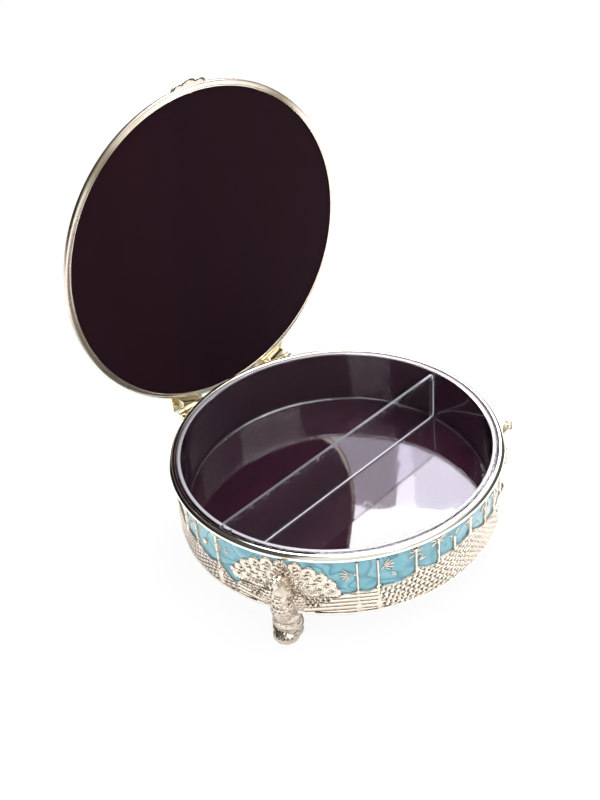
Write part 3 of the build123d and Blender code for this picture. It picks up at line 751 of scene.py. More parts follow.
def fan_rise(s, z):
    """Height of a tail fan over the plain wall, in millimetres."""
    x, y = s, z - FAN_BASE
    a, b = FAN_HALF - FAN_TIP, FAN_TALL - FAN_TIP
    turn = np.arctan2(y / b, x / a)
    reach = np.hypot(x / a, y / b)
    height = np.where(reach < 1, 1.05 + 0.2 * np.cos(turn * 66), UNDER)
    for share, count, wide, tall, first in FAN_ROWS:
        for n in range(count):
            t = math.pi * (n + first) / count
            at = (share * a * math.cos(t), share * b * math.sin(t))
            way = math.atan2(at[1] + 6, at[0])
            height = feather_eye(x - at[0], y - at[1], way, wide, tall, height)
    holes = np.hypot((np.abs(x) - 15.5) / 6.5, (y - 3.2) / 1.5)
    bars = np.abs((x / 2.6) % 1 - 0.5) > 0.34
    height = np.where((holes < 1) & ~bars, HOLE_FLOOR + 0.3 * holes, height)
    return np.where(y > -0.6, height, UNDER)


columns = int(2 * FAN_GRID_HALF / CELL)
rows = int((ENAMEL_HIGH - FAN_GRID_LOW) / CELL)
fan_s, fan_z = np.meshgrid(np.linspace(-FAN_GRID_HALF, FAN_GRID_HALF, columns + 1),
                           np.linspace(FAN_GRID_LOW, ENAMEL_HIGH, rows + 1))
fan_shape = fan_rise(fan_s, fan_z)
for word, start in FEET:
    relief(f"tail_fan_{word}", start, np.degrees(fan_s / WALL_RADIUS), fan_z, fan_shape,
           relief_plating, f"fan_{word}")


# Peacock feet
# Three solid zinc castings. Each is a standing bird against the wall, its neck and crested head
# clear of the fan behind it, over a leg and a scrolled foot. A lug takes the screws, which are
# driven in through two holes from the sole.
SCULPT_CELL = 0.42
LUG_LOW, LUG_HIGH = 19.6, 22.0
LUG_CENTRE, LUG_LONG, LUG_WIDE = 103.2, 12.0, 15.0
SCREW_CENTRE, SCREW_SIDE = 102.6, 4.5
DRIVER_ROOM = 2.5
PLUME_WIDE, PLUME_TALL = 2.7, 2.5
FLUTE_PITCH, FLUTE_RISE = 3.4, 0.12
COIL_CENTRE, COIL_PITCH, COIL_RISE = (4.6, 7.0), 2.7, 0.08
RING_PITCH, RING_RISE = 1.9, 0.16
PITTED_RISE = 0.13
SLOT_LEVELS = (15.4, 9.0)
SLOT_HALF, SLOT_DEPTH = 0.6, 1.0


def turned_to(angle):
    return Matrix.Rotation(math.radians(angle), 4, "Z")


def mesh_from(made, name):
    """A mesh from what was built, which is then let go."""
    mesh = bpy.data.meshes.new(name)
    made.to_mesh(mesh)
    made.free()
    return mesh


def with_modifiers(piece):
    """The piece's mesh with its modifiers applied."""
    graph = bpy.context.evaluated_depsgraph_get()
    return bpy.data.meshes.new_from_object(piece.evaluated_get(graph))


def sculpted(name, balls, chains, cell, material, rounds=3):
    """Balls and chains of balls, in millimetres, fused into one smooth skin."""
    made = bmesh.new()

    def ball(at, sizes):
        grown = bmesh.ops.create_icosphere(made, subdivisions=3, radius=1)["verts"]
        spread = Matrix.Diagonal((*sizes, 1))
        bmesh.ops.transform(made, matrix=Matrix.Translation(at) @ spread, verts=grown)

    for at, sizes in balls:
        ball(at, sizes)
    for chain in chains:
        for (start, first), (stop, last) in zip(chain, chain[1:]):
            gap = (Vector(stop) - Vector(start)).length
            steps = max(2, int(gap / (0.3 * min(first, last))))
            for n in range(steps + 1):
                t = n / steps
                size = first + (last - first) * t
                ball(Vector(start).lerp(Vector(stop), t), (size, size, size))
    holder = keep_mesh(name + "_rough", mesh_from(made, name + "_rough"), None)
    fuse = holder.modifiers.new("fuse", "REMESH")
    fuse.mode = "VOXEL"
    fuse.voxel_size = cell
    calm = holder.modifiers.new("calm", "SMOOTH")
    calm.iterations = rounds
    skin = with_modifiers(holder)
    bpy.data.objects.remove(holder)
    skin.name = name
    skin.materials.clear()
    skin.materials.append(material)
    return skin


def points_of(mesh):
    held = np.empty(len(mesh.vertices) * 3, np.float32)
    mesh.vertices.foreach_get("co", held)
    return held.reshape(-1, 3).astype(float)


def normals_of(mesh):
    held = np.empty(len(mesh.vertices) * 3, np.float32)
    mesh.vertex_normals.foreach_get("vector", held)
    return held.reshape(-1, 3).astype(float)


def between(z, low, rise, high, fall):
    """1 from the low to the high end, fading in and out over these lengths inside them."""
    return np.clip((z - low) / rise, 0, 1) * np.clip((high - z) / fall, 0, 1)


def set_points(mesh, points):
    mesh.vertices.foreach_set("co", points.astype(np.float32).ravel())
    mesh.update()


def cut_or_join(piece, tool, operation):
    """Applies one exact boolean with the tool, then removes the tool."""
    change = piece.modifiers.new("change", "BOOLEAN")
    change.object = tool
    change.operation = operation
    change.solver = "EXACT"
    bpy.context.view_layer.update()
    result = with_modifiers(piece)
    piece.modifiers.clear()
    piece.data = result
    bpy.data.objects.remove(tool)


def upright_posts(name, posts, segments):
    """Round posts, each (x, y, lower end, upper end, radius) in millimetres, as one tool."""
    made = bmesh.new()
    for x, y, low, high, radius in posts:
        post = bmesh.ops.create_cone(made, cap_ends=True, segments=segments, radius1=radius,
                                     radius2=radius, depth=high - low)["verts"]
        bmesh.ops.translate(made, vec=(x, y, (low + high) / 2), verts=post)
    bmesh.ops.scale(made, vec=(MM, MM, MM), verts=made.verts)
    return keep_mesh(name, mesh_from(made, name), None)


foot_balls = [
    ((112.0, 0.8, 30.0), (8.3, 7.8, 10.5)),
    ((108.6, 8.5, 33), (2.6, 6.0, 7.5)),
    ((108.6, -8.5, 33), (2.6, 6.0, 7.5)),
    ((106.6, 0, 19), (8.2, 9.6, 7.0)),
    ((106.0, 0, 12), (8.4, 10.1, 7.0)),
    ((107.0, 0, 6.6), (8.2, 9.9, 6.4)),
    ((110.4, 0, 4.8), (8.4, 8.6, 5.2)),
    ((111.2, 2.0, 44), (4.4, 5.0, 7.0)),
    ((119.4, 0, 55.8), (3.6, 3.4, 3.6)),
]
foot_chains = [
    [((113.6, 0, 38), 5.8), ((113.2, 0.6, 44), 4.8), ((113.8, 0.6, 49.0), 4.3),
     ((116.0, 0.4, 53), 3.6), ((119.0, 0, 55.8), 3.2)],
    [((110.4, 0, 40), 4.4), ((110.2, 1.2, 47), 4.0), ((111.8, 1.0, 52), 3.6),
     ((113.4, 0.8, 55.2), 2.6)],
    [((121.2, 0, 55.6), 1.8), ((122.8, 0, 54.8), 1.2), ((124.0, 0, 54.2), 0.6)],
    [((119.4, 0, 57.5), 1.2), ((119.6, 0, 60.2), 1.35)],
    [((119.4, 0, 57), 1.2), ((119.4, 2.6, 59.6), 1.3)],
    [((119.4, 0, 57), 1.2), ((119.4, -2.6, 59.6), 1.3)],
    [((119.4, 0, 57), 1.2), ((121.8, 1.2, 59.2), 1.25)],
    [((119.4, 0, 57), 1.2), ((117.2, -0.8, 59.2), 1.25)],
]
foot_skin = sculpted("peacock_foot", foot_balls, foot_chains, SCULPT_CELL, relief_plating)
spots, away = points_of(foot_skin), normals_of(foot_skin)
x, y, z = spots.T
front = np.clip((away[:, 0] + 0.35) / 0.5, 0, 1)
breast = between(z, 20, 3, 47, 4)
neck = between(z, 41, 3, 55, 2)
leg = between(z, 14, 2, 20, 3)
scroll = np.clip((14 - z) / 2, 0, 1)
rows_up = z / PLUME_TALL
row = np.floor(rows_up)
across = y / PLUME_WIDE + 0.5 * (row % 2)
across = across - np.floor(across) - 0.5
within = rows_up - row
plume = np.clip(1 - np.hypot(across / 0.5, (within - 0.72) / 0.75) ** 2, 0, 1)
plume_rise = (np.sqrt(plume) - 0.45) * 0.5
fluting = np.cos(y * 2 * math.pi / FLUTE_PITCH) * FLUTE_RISE
from_coil = np.hypot(np.abs(y) - COIL_CENTRE[0], z - COIL_CENTRE[1])
coil = np.cos(from_coil * 2 * math.pi / COIL_PITCH) * COIL_RISE
pitted = np.cos(z * 3.4 + y * 0.6) * np.cos(y * 2.9) * PITTED_RISE
neck_rings = np.cos(z * 2 * math.pi / RING_PITCH + y * 0.8) * RING_RISE
moved = front * (breast * (1 - neck) * plume_rise + leg * fluting) + neck * neck_rings
moved = moved + scroll * (coil + pitted)
slots = np.min([np.abs(z - level) for level in SLOT_LEVELS], axis=0) < SLOT_HALF
moved = np.where(slots & (y < -4.2) & (x > 102), -SLOT_DEPTH, moved)
spots = spots + away * moved[:, None]
spots[:, 2] = np.maximum(spots[:, 2], 0)
set_points(foot_skin, spots * MM)
# Painted shade: darker in the grooves and slots, and a darker, warmer tone all over that is
# strongest on the +y side, standing in for shade and reflection there. The eyes are dark spots.
deep = np.clip(-moved / 0.7, 0, 1)
eye_spot = (np.hypot(x - 120.4, z - 57.2) < 0.8) & (np.abs(y) > 1.6)
painted_side_shade = 0.12 + 0.12 * np.clip(y / 3, 0, 1)
set_layer(foot_skin, "recess", np.clip(deep + eye_spot + painted_side_shade, 0, 1))
foot_skin.shade_smooth()

# Two holes from the sole let the driver reach the screws, and the back is cut to the wall
bird = keep_mesh("bird", foot_skin, None)
driver_holes = [(SCREW_CENTRE, side * SCREW_SIDE, -1, LUG_LOW, DRIVER_ROOM) for side in (1, -1)]
cut_or_join(bird, upright_posts("driver_holes", driver_holes, 40), "DIFFERENCE")
seat = [(0, 0, FOOT_HEIGHT, RIM_TOP, WALL_RADIUS - 0.3)]
cut_or_join(bird, upright_posts("seat", seat, 360), "DIFFERENCE")
foot_skin = bird.data
bpy.data.objects.remove(bird)

lug_corners = bmesh.new()
bmesh.ops.create_cube(lug_corners, size=1)
span = Matrix.Diagonal((LUG_LONG, LUG_WIDE, LUG_HIGH - LUG_LOW, 1))
place = Matrix.Translation((LUG_CENTRE, 0, (LUG_LOW + LUG_HIGH) / 2))
bmesh.ops.transform(lug_corners, matrix=place @ span, verts=lug_corners.verts)
upright = [e for e in lug_corners.edges if abs(e.verts[0].co.z - e.verts[1].co.z) > 1]
bmesh.ops.bevel(lug_corners, geom=upright, offset=2.2, segments=5, affect="EDGES")
bmesh.ops.scale(lug_corners, vec=(MM, MM, MM), verts=lug_corners.verts)
lug_corners.from_mesh(foot_skin)
lug_corners.to_mesh(foot_skin)
lug_corners.free()
foot_skin.shade_smooth()
foot_skin.set_sharp_from_angle(angle=math.radians(50))
for word, angle in FEET:
    skin = foot_skin.copy()
    skin.transform(turned_to(angle))
    foot = keep_mesh(f"peacock_foot_{word}", skin, None)
    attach(foot, "root")
    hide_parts(f"foot_{word}")


# Base plate, card boards and screws
# The plate is stamped from sheet and closes the body from below; card boards stiffen the two
# linings. Steel screws hold the feet, the plate and the body together.
def grained(name, light, dark, scale, roughness, metallic=0.0, bump=0.2):
    """A plain stock material: two close colours in a fine grain, and the grain as bump."""
    material, tree, shader = new_material(name)
    set_sockets(shader, Roughness=roughness, Metallic=metallic)
    where = new_node(tree, "TexCoord")
    grain = new_node(tree, "TexNoise", Scale=scale, Detail=5.0, Roughness=0.7)
    colour = colour_mix(tree, dark, light)
    wire(tree, (where, "Object", grain, "Vector"), (grain, "Fac", colour, 0),
         (colour, MIXED, shader, "Base Color"))
    add_bump(tree, shader, grain, "Fac", bump, 0.0003)
    return material


def dress(node, material):
    """Gives a CAD node that keeps its own shape this material."""
    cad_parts[node].data.materials.clear()
    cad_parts[node].data.materials.append(material)


plate_stock = grained("plate_stock", (0.80, 0.77, 0.70, 1), (0.66, 0.62, 0.54, 1), 900, 0.35, 1.0)
card_stock = grained("card_stock", (0.42, 0.36, 0.30, 1), (0.28, 0.23, 0.19, 1), 1400, 0.9)
screw_steel = grained("screw_steel", (0.70, 0.69, 0.67, 1), (0.52, 0.51, 0.50, 1), 2500, 0.3, 1.0)
dress("base_plate", plate_stock)
dress("floor_board", card_stock)
dress("lid_board", card_stock)
dress("foot_screws", screw_steel)
dress("hinge_pin_left", screw_steel)
dress("hinge_pin_right", screw_steel)


# Velvet linings
# Dark aubergine velvet: a disc on the floor board, a strip glued round the inside of the wall,
# and a disc stretched over the lid's board. The pile is short and catches light at its edges.
# The floor and wall linings use a lighter copy of the lid's velvet: painted light.
BOARD_TOP = 28.1
TRAY_BASE = 29.5
LINING_RADIUS = 104.4
FLOOR_VELVET_RADIUS = 104.1
WALL_VELVET_TOP = 69.2
HINGE_LINE = Vector((0, 107.8, 65.45)) * MM
LID_BASE = 71.8
LID_VELVET_RADIUS = 106.65
LID_VELVET_LOW, LID_VELVET_HIGH = 72.6, 74.0
NAP_SHARE = 0.35
NAP_DRAWN = (1.6, 1.6, 0.15)
swing_open = (Matrix.Translation(HINGE_LINE) @ Matrix.Rotation(math.radians(-90), 4, "X")
              @ Matrix.Translation(-HINGE_LINE))


def velvet_cloth(name, deep, lit):
    """Short pile: two close colours in a fine grain, brushed patches and a weak sheen."""
    material, tree, shader = new_material(name)
    set_sockets(shader, Roughness=0.95, Specular_IOR_Level=0.08, Sheen_Weight=0.07,
                Sheen_Roughness=0.45, Sheen_Tint=(0.42, 0.30, 0.55, 1))
    where = new_node(tree, "TexCoord")
    pile = new_node(tree, "TexNoise", Scale=2600.0, Detail=3.0, Roughness=0.7)
    nap = new_node(tree, "TexNoise", Scale=14.0, Detail=3.0)
    tuft = colour_mix(tree, deep, lit)
    brushed = new_node(tree, "Mix", data_type="RGBA", blend_type="MULTIPLY")
    brushed.inputs[0].default_value = NAP_SHARE
    drawn = new_node(tree, "Mapping", Scale=NAP_DRAWN)
    wire(tree, (where, "Object", pile, "Vector"), (where, "Object", drawn, "Vector"),
         (drawn, "Vector", nap, "Vector"), (pile, "Fac", tuft, 0),
         (tuft, MIXED, brushed, FIRST_COLOUR), (nap, "Color", brushed, SECOND_COLOUR),
         (brushed, MIXED, shader, "Base Color"))
    add_bump(tree, shader, pile, "Fac", 0.5, 0.0003)
    return material


lid_cloth = velvet_cloth("lid_velvet", (0.008, 0.0025, 0.0045, 1), (0.022, 0.0062, 0.010, 1))
# A lighter copy of the lid's velvet for the floor and wall linings: painted light.
body_cloth_painted_lighter = velvet_cloth("body_velvet_painted_lighter", (0.022, 0.006, 0.013, 1), (0.058, 0.014, 0.030, 1))


def velvet_disc(name, radius, low, high, nap_up, cloth):
    """A disc of velvet; its pile side, up or down, curls over at the edge."""
    edge = 0.5
    if nap_up:
        profile = [(0, low), (radius, low), (radius, high - edge)]
        profile += bend_round((radius, low), (radius, high), (0, high), edge)[1:] + [(0, high)]
    else:
        profile = [(0, high), (radius, high), (radius, low + edge)]
        profile += bend_round((radius, high), (radius, low), (0, low), edge)[1:] + [(0, low)]
        profile = profile[::-1]
    return turned(name, profile, cloth, 240, closed=False)


floor_velvet = velvet_disc("floor_velvet", FLOOR_VELVET_RADIUS, BOARD_TOP, TRAY_BASE - 0.06,
                           True, body_cloth_painted_lighter)
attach(floor_velvet, "root")
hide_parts("floor_lining")

strip = [(BORE_RADIUS - 0.05, LEDGE_TOP), (BORE_RADIUS - 0.05, WALL_VELVET_TOP),
         (LINING_RADIUS + 0.3, WALL_VELVET_TOP), (LINING_RADIUS, WALL_VELVET_TOP - 0.3),
         (LINING_RADIUS, LEDGE_TOP)]
wall_velvet = turned("wall_velvet", strip, body_cloth_painted_lighter, 240)
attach(wall_velvet, "root")
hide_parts("wall_lining")

lid_velvet = velvet_disc("lid_velvet", LID_VELVET_RADIUS, LID_VELVET_LOW, LID_VELVET_HIGH,
                         False, lid_cloth)
lid_velvet.data.transform(swing_open)
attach(lid_velvet, "lid")
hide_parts("lid_lining")


# Clear tray
# One moulding in clear plastic: a shallow cup with a rounded floor corner, a flat lip that drops
# into the rim, two small slots in the lip, and two pairs of ribs for the divider.
TRAY_RADIUS = 104.1
TRAY_BORE = 102.3
TRAY_BOTTOM = 31.3
TRAY_DRAFT = 0.55
LIP_RADIUS = 105.3
LIP_FROSTED = 104.7
LIP_UNDERSIDE = 69.5
DIVIDER_TURN = 5.0
DIVIDER_THICK = 2.2
SLOT_ANGLES = (187.0, 190.7)
SLOT_SIZE = (1.1, 2.4, 6.0)
RIB_SIZE = (4.0, 1.2, 34.6)
RIB_CENTRE = (100.6, 48.2)
RIB_SLACK = 0.15
# radius, depth under the lip's top
LIP_GROOVE = ((104.75, 0), (104.6, 0.45), (104.3, 0.45), (104.15, 0.05))


def clear_plastic(name, tint, roughness, transmission, painted_glow=0.0):
    """Clear plastic. Cut edges are rougher, let less through and can glow a little: a painted
    glow that stands in for light the sheet guides to them."""
    material, tree, shader = new_material(name)
    set_sockets(shader, Roughness=roughness, IOR=1.49, Transmission_Weight=transmission,
                Emission_Strength=painted_glow)
    where = new_node(tree, "TexCoord")
    flow = new_node(tree, "TexNoise", Scale=60.0, Detail=2.0)
    colour = colour_mix(tree, tint, tuple(0.97 * c for c in tint[:3]) + (1,))
    wire(tree, (where, "Object", flow, "Vector"), (flow, "Fac", colour, 0),
         (colour, MIXED, shader, "Base Color"), (colour, MIXED, shader, "Emission Color"))
    add_bump(tree, shader, flow, "Fac", 0.06, 0.0004)
    return material


clear_face = clear_plastic("clear_plastic", (0.97, 0.96, 0.99, 1), 0.02, 1.0)
clear_edge = clear_plastic("clear_plastic_edge", (0.80, 0.76, 0.84, 1), 0.25, 0.55)
# The sawn edges' glow is painted light.
glowing_sawn_edge = clear_plastic("sawn_plastic_edge_painted_glow", (0.90, 0.88, 0.96, 1), 0.4, 0.3, 0.55)
sheet_face = clear_plastic("clear_sheet", (0.84, 0.83, 0.88, 1), 0.02, 1.0)
sheet_top = clear_plastic("clear_sheet_top", (0.70, 0.67, 0.74, 1), 0.3, 0.9)

# Scuffs left by the saw near the sheet's upper edge: specks on its faces that glow, as painted
# highlights
SCUFF_LOW, SCUFF_HIGH = 0.0605, 0.0675
SCUFF_GLOW_COLOUR = (0.5, 0.47, 0.55, 1)
tree = sheet_face.node_tree
shader = tree.nodes["Principled BSDF"]
where = new_node(tree, "TexCoord")
height_of = new_node(tree, "SeparateXYZ")
specks = new_node(tree, "TexVoronoi", Scale=520.0)
clusters = new_node(tree, "TexNoise", Scale=90.0, Detail=3.0)
band = new_node(tree, "MapRange", From_Min=SCUFF_LOW, From_Max=SCUFF_HIGH, To_Max=0.46)
size_here = new_node(tree, "Math", operation="MULTIPLY")
speck = new_node(tree, "Math", operation="LESS_THAN")
scuff_glow = colour_mix(tree, (0, 0, 0, 1), SCUFF_GLOW_COLOUR)
wire(tree, (where, "Object", height_of, 0), (where, "Object", specks, "Vector"),
     (where, "Object", clusters, "Vector"), (height_of, "Z", band, "Value"),
     (band, "Result", size_here, 0), (clusters, "Fac", size_here, 1),
     (specks, "Distance", speck, 0), (size_here, 0, speck, 1), (speck, 0, scuff_glow, 0),
     (scuff_glow, MIXED, shader, "Emission Color"))
set_sockets(shader, Emission_Strength=1.0)

tray_profile = [(0, TRAY_BASE)]
tray_profile += bend_round((0, TRAY_BASE), (TRAY_RADIUS - TRAY_DRAFT, TRAY_BASE),
                           (TRAY_RADIUS, LIP_UNDERSIDE), 4.0, 10)
tray_profile += [(TRAY_RADIUS, LIP_UNDERSIDE), (LIP_RADIUS, LIP_UNDERSIDE)]
tray_profile += bend_round((LIP_RADIUS, LIP_UNDERSIDE), (LIP_RADIUS, RIM_TOP),
                           (TRAY_BORE, RIM_TOP), 0.3)
tray_profile += [(r, RIM_TOP - depth) for r, depth in LIP_GROOVE]
tray_profile += bend_round((LIP_RADIUS, RIM_TOP), (TRAY_BORE, RIM_TOP),
                           (TRAY_BORE - TRAY_DRAFT, TRAY_BOTTOM), 0.35)
tray_profile += bend_round((TRAY_BORE, RIM_TOP), (TRAY_BORE - TRAY_DRAFT, TRAY_BOTTOM),
                           (0, TRAY_BOTTOM), 3.1, 10)
tray_profile += [(0, TRAY_BOTTOM)]
clear_tray = turned("clear_tray", tray_profile, clear_face, 360, closed=False)


def rounded_block(name, size, at, turn, rounding, material=None):
    """A block with rounded edges, in millimetres, turned about the box's axis."""
    made = bmesh.new()
    bmesh.ops.create_cube(made, size=1)
    bmesh.ops.transform(made, matrix=Matrix.Diagonal((*size, 1)), verts=made.verts)
    bmesh.ops.bevel(made, geom=list(made.edges), offset=rounding, segments=3, affect="EDGES")
    move = turned_to(turn) @ Matrix.Translation(at)
    bmesh.ops.transform(made, matrix=Matrix.Scale(MM, 4) @ move, verts=made.verts)
    return keep_mesh(name, mesh_from(made, name), material)


for end in (1, -1):
    for side in (1, -1):
        across = side * (DIVIDER_THICK / 2 + RIB_SLACK + RIB_SIZE[1] / 2)
        at = (end * RIB_CENTRE[0], across, RIB_CENTRE[1])
        rib = rounded_block("rib", RIB_SIZE, at, DIVIDER_TURN, 0.3)
        cut_or_join(clear_tray, rib, "UNION")
for angle in SLOT_ANGLES:
    slot = rounded_block("slot", SLOT_SIZE, (103.8, 0, RIM_TOP), angle, 0.5)
    cut_or_join(clear_tray, slot, "DIFFERENCE")
tray_mesh = clear_tray.data
tray_mesh.materials.clear()
tray_mesh.materials.append(clear_face)
tray_mesh.materials.append(clear_edge)
for face in tray_mesh.polygons:
    on_lip = face.center.z > (RIM_TOP - 0.36) * MM
    frosted = face.center.xy.length < LIP_FROSTED * MM
    face.material_index = 1 if on_lip and frosted and face.normal.z > 0.2 else 0
shade(tray_mesh, 40)
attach(clear_tray, "root")
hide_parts("tray")


# Divider
# A cut sheet of clear acrylic with rounded lower corners, stood between the tray's ribs. Its
# faces are polished, with a few scuffs painted as glowing specks, and its sawn edges are frosted;
# all but the top one also glow a little, as painted light.
DIVIDER_HALF = 101.45
DIVIDER_LOW = 31.6
DIVIDER_HIGH = 68.75
outline = bend_round((0, DIVIDER_LOW), (DIVIDER_HALF, DIVIDER_LOW), (DIVIDER_HALF, 60), 4.0, 8)
outline += bend_round((DIVIDER_HALF, 60), (DIVIDER_HALF, DIVIDER_HIGH), (0, DIVIDER_HIGH), 1.0, 4)
outline += [(-x, z) for x, z in reversed(outline)]
sheet = bmesh.new()
ring = [sheet.verts.new((x, -DIVIDER_THICK / 2, z)) for x, z in outline]
near = sheet.faces.new(ring)
grown = bmesh.ops.extrude_face_region(sheet, geom=[near])
far = [v for v in grown["geom"] if isinstance(v, bmesh.types.BMVert)]
bmesh.ops.translate(sheet, vec=(0, DIVIDER_THICK, 0), verts=far)
bmesh.ops.recalc_face_normals(sheet, faces=sheet.faces)
rims = [e for e in sheet.edges if e.calc_face_angle(0) > 1.2]
bmesh.ops.bevel(sheet, geom=rims, offset=0.18, segments=2, affect="EDGES")
bmesh.ops.transform(sheet, matrix=Matrix.Scale(MM, 4) @ turned_to(DIVIDER_TURN), verts=sheet.verts)
divider_mesh = mesh_from(sheet, "clear_divider")
clear_divider = keep_mesh("clear_divider", divider_mesh, sheet_face)
divider_mesh.materials.append(sheet_top)
divider_mesh.materials.append(glowing_sawn_edge)
face_way = Vector((-math.sin(math.radians(DIVIDER_TURN)), math.cos(math.radians(DIVIDER_TURN)), 0))
for face in divider_mesh.polygons:
    if abs(face.normal.dot(face_way)) < 0.99:
        face.material_index = 1 if face.normal.z > 0.5 else 2
shade(divider_mesh, 40)
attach(clear_divider, "root")
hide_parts("divider")


# Lid casting
# One zinc casting: the ring that meets the rim, a fine bead round the lining, a sloped shoulder,
# a raised border of petals and a low dome. Plated like the body. Modelled shut, then opened.
LID_RADIUS = 110.9
LINING_EDGE = 106.8
DOME_EDGE = 106.5
RING_INNER, RING_TOP = 108.0, 74.4
BOARD_SEAT = 75.8
SHOULDER_TOP = 77.0
SHELL_INNER, SHELL_THICK = 102.7, 1.4
LID_TOP = 82.8
DOME_SPHERE = 980.7
BORDER_INNER = 98.5
BORDER_RISE = 0.8
PETALS = 90
PETAL_CENTRE, PETAL_HALF = 101.9, 2.9
BEAD_CENTRE, BEAD_HALF = 105.6, 0.75
LINE_CENTRE, LINE_HALF = 98.9, 0.5
DULL_PATCHES = ((-128, 20), (-54, 16), (158, 24))


def dome_z(r):
    return LID_TOP - DOME_SPHERE + np.sqrt(DOME_SPHERE**2 - np.asarray(r, float) ** 2)


border_r = np.linspace(DOME_EDGE, BORDER_INNER, 26)
lid_profile = [(LINING_EDGE, BOARD_SEAT)]
lid_profile += bend_round((LINING_EDGE, BOARD_SEAT), (LINING_EDGE, LID_BASE),
                          (RING_INNER, LID_BASE), 0.3)
lid_profile += [(RING_INNER - 0.45, LID_BASE), (RING_INNER - 0.25, LID_BASE + 0.25),
                (RING_INNER, LID_BASE + 0.05)]
lid_profile += bend_round((RING_INNER, LID_BASE), (LID_RADIUS, LID_BASE),
                          (LID_RADIUS, RING_TOP), 0.7)
lid_profile += bend_round((LID_RADIUS, LID_BASE), (LID_RADIUS, RING_TOP),
                          (DOME_EDGE, SHOULDER_TOP), 0.6)
lid_profile += [(DOME_EDGE + 0.15, SHOULDER_TOP - 0.05)]
lid_profile += [(r, float(dome_z(r)) + BORDER_RISE) for r in border_r]
lid_profile += [(BORDER_INNER, float(dome_z(BORDER_INNER)))]
lid_profile += [(r, float(dome_z(r))) for r in np.linspace(94, 0, 12)]
lid_profile += [(r, float(dome_z(r)) - SHELL_THICK) for r in np.linspace(0, SHELL_INNER, 12)]
lid_profile += [(SHELL_INNER, BOARD_SEAT)]
lid_shell = turned("lid_shell", lid_profile, relief_plating, FINE_TURNS)
spots = points_of(lid_shell.data) / MM
r = np.hypot(spots[:, 0], spots[:, 1])
turn = np.degrees(np.arctan2(spots[:, 1], spots[:, 0]))
on_border = (r > BORDER_INNER - 0.01) & (r < DOME_EDGE + 0.01) & (spots[:, 2] > dome_z(r) + 0.5)
part = turn * PETALS / 360
part = part - np.floor(part) - 0.5
petal = np.hypot(part / 0.46, (r - PETAL_CENTRE) / PETAL_HALF)
beads = np.hypot(((turn * 2 * PETALS / 360) % 1 - 0.5) / 0.42, (r - BEAD_CENTRE) / BEAD_HALF)
swell = 0.55 * np.sqrt(np.clip(1 - petal**2, 0, 1)) - 0.3 * (petal < 0.45)
swell = swell + 0.5 * np.sqrt(np.clip(1 - beads**2, 0, 1))
swell = np.where(np.abs(r - LINE_CENTRE) < LINE_HALF, 0.3, swell)
spots[:, 2] += np.where(on_border, swell, 0)
set_points(lid_shell.data, spots * MM)
on_ring = (r > LINING_EDGE) & (spots[:, 2] < 75)
dulled = sum(np.exp(-((((turn - at + 180) % 360 - 180) / half) ** 2)) for at, half in DULL_PATCHES)
dulled = dulled * (0.8 + 0.2 * np.sin(np.radians(turn * 13))) * on_ring
# Painted shade between the petals of the border; the ring also has dulled patches, darker and
# rougher.
painted_petal_shade = np.where(on_border, np.clip(0.75 - swell * 2.4, 0, 1), 0)
set_layer(lid_shell.data, "recess", painted_petal_shade + dulled)
lid_shell.data.transform(swing_open)
shade(lid_shell.data, 50)
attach(lid_shell, "lid")
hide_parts("lid_casting")


# Lid ornament and enamel
# The same enamel as the wall's covers the dome. A rosette of feather eyes is cast for its
# middle, with canes and leaves standing out from it towards the border.
LID_ENAMEL_EDGE = 98.2
ROSETTE_RADIUS = 48.0
LID_CELL = 0.5
HIGHEST_ORNAMENT = 84.3
EYE_HEIGHT = 2.05
# ring radius, number of eyes, half width, half length, offset
EYE_RINGS = ((43.0, 24, 5.0, 5.2, 0), (33.5, 20, 4.6, 5.2, 0.5), (24.0, 16, 4.2, 5.0, 0),
             (15.0, 10, 4.0, 4.8, 0.5))
LID_CANES = 12
LID_CANE_HALF, LID_JOINT_PITCH = 0.9, 8.0
# distance from the middle, lean in degrees
LID_LEAVES = ((62, 38), (62, -44), (76, 52), (76, -34), (88, 40), (88, -48))

enamel_profile = [(r, float(dome_z(r)) + ENAMEL_RISE)
                  for r in np.linspace(0, LID_ENAMEL_EDGE, 30)]
enamel_profile += [(LID_ENAMEL_EDGE, float(dome_z(LID_ENAMEL_EDGE)) + 0.1)]
lid_enamel = turned("lid_enamel_field", enamel_profile[::-1], enamel_material, 360, closed=False)
lid_enamel.data.transform(swing_open)
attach(lid_enamel, "lid")
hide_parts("lid_enamel")

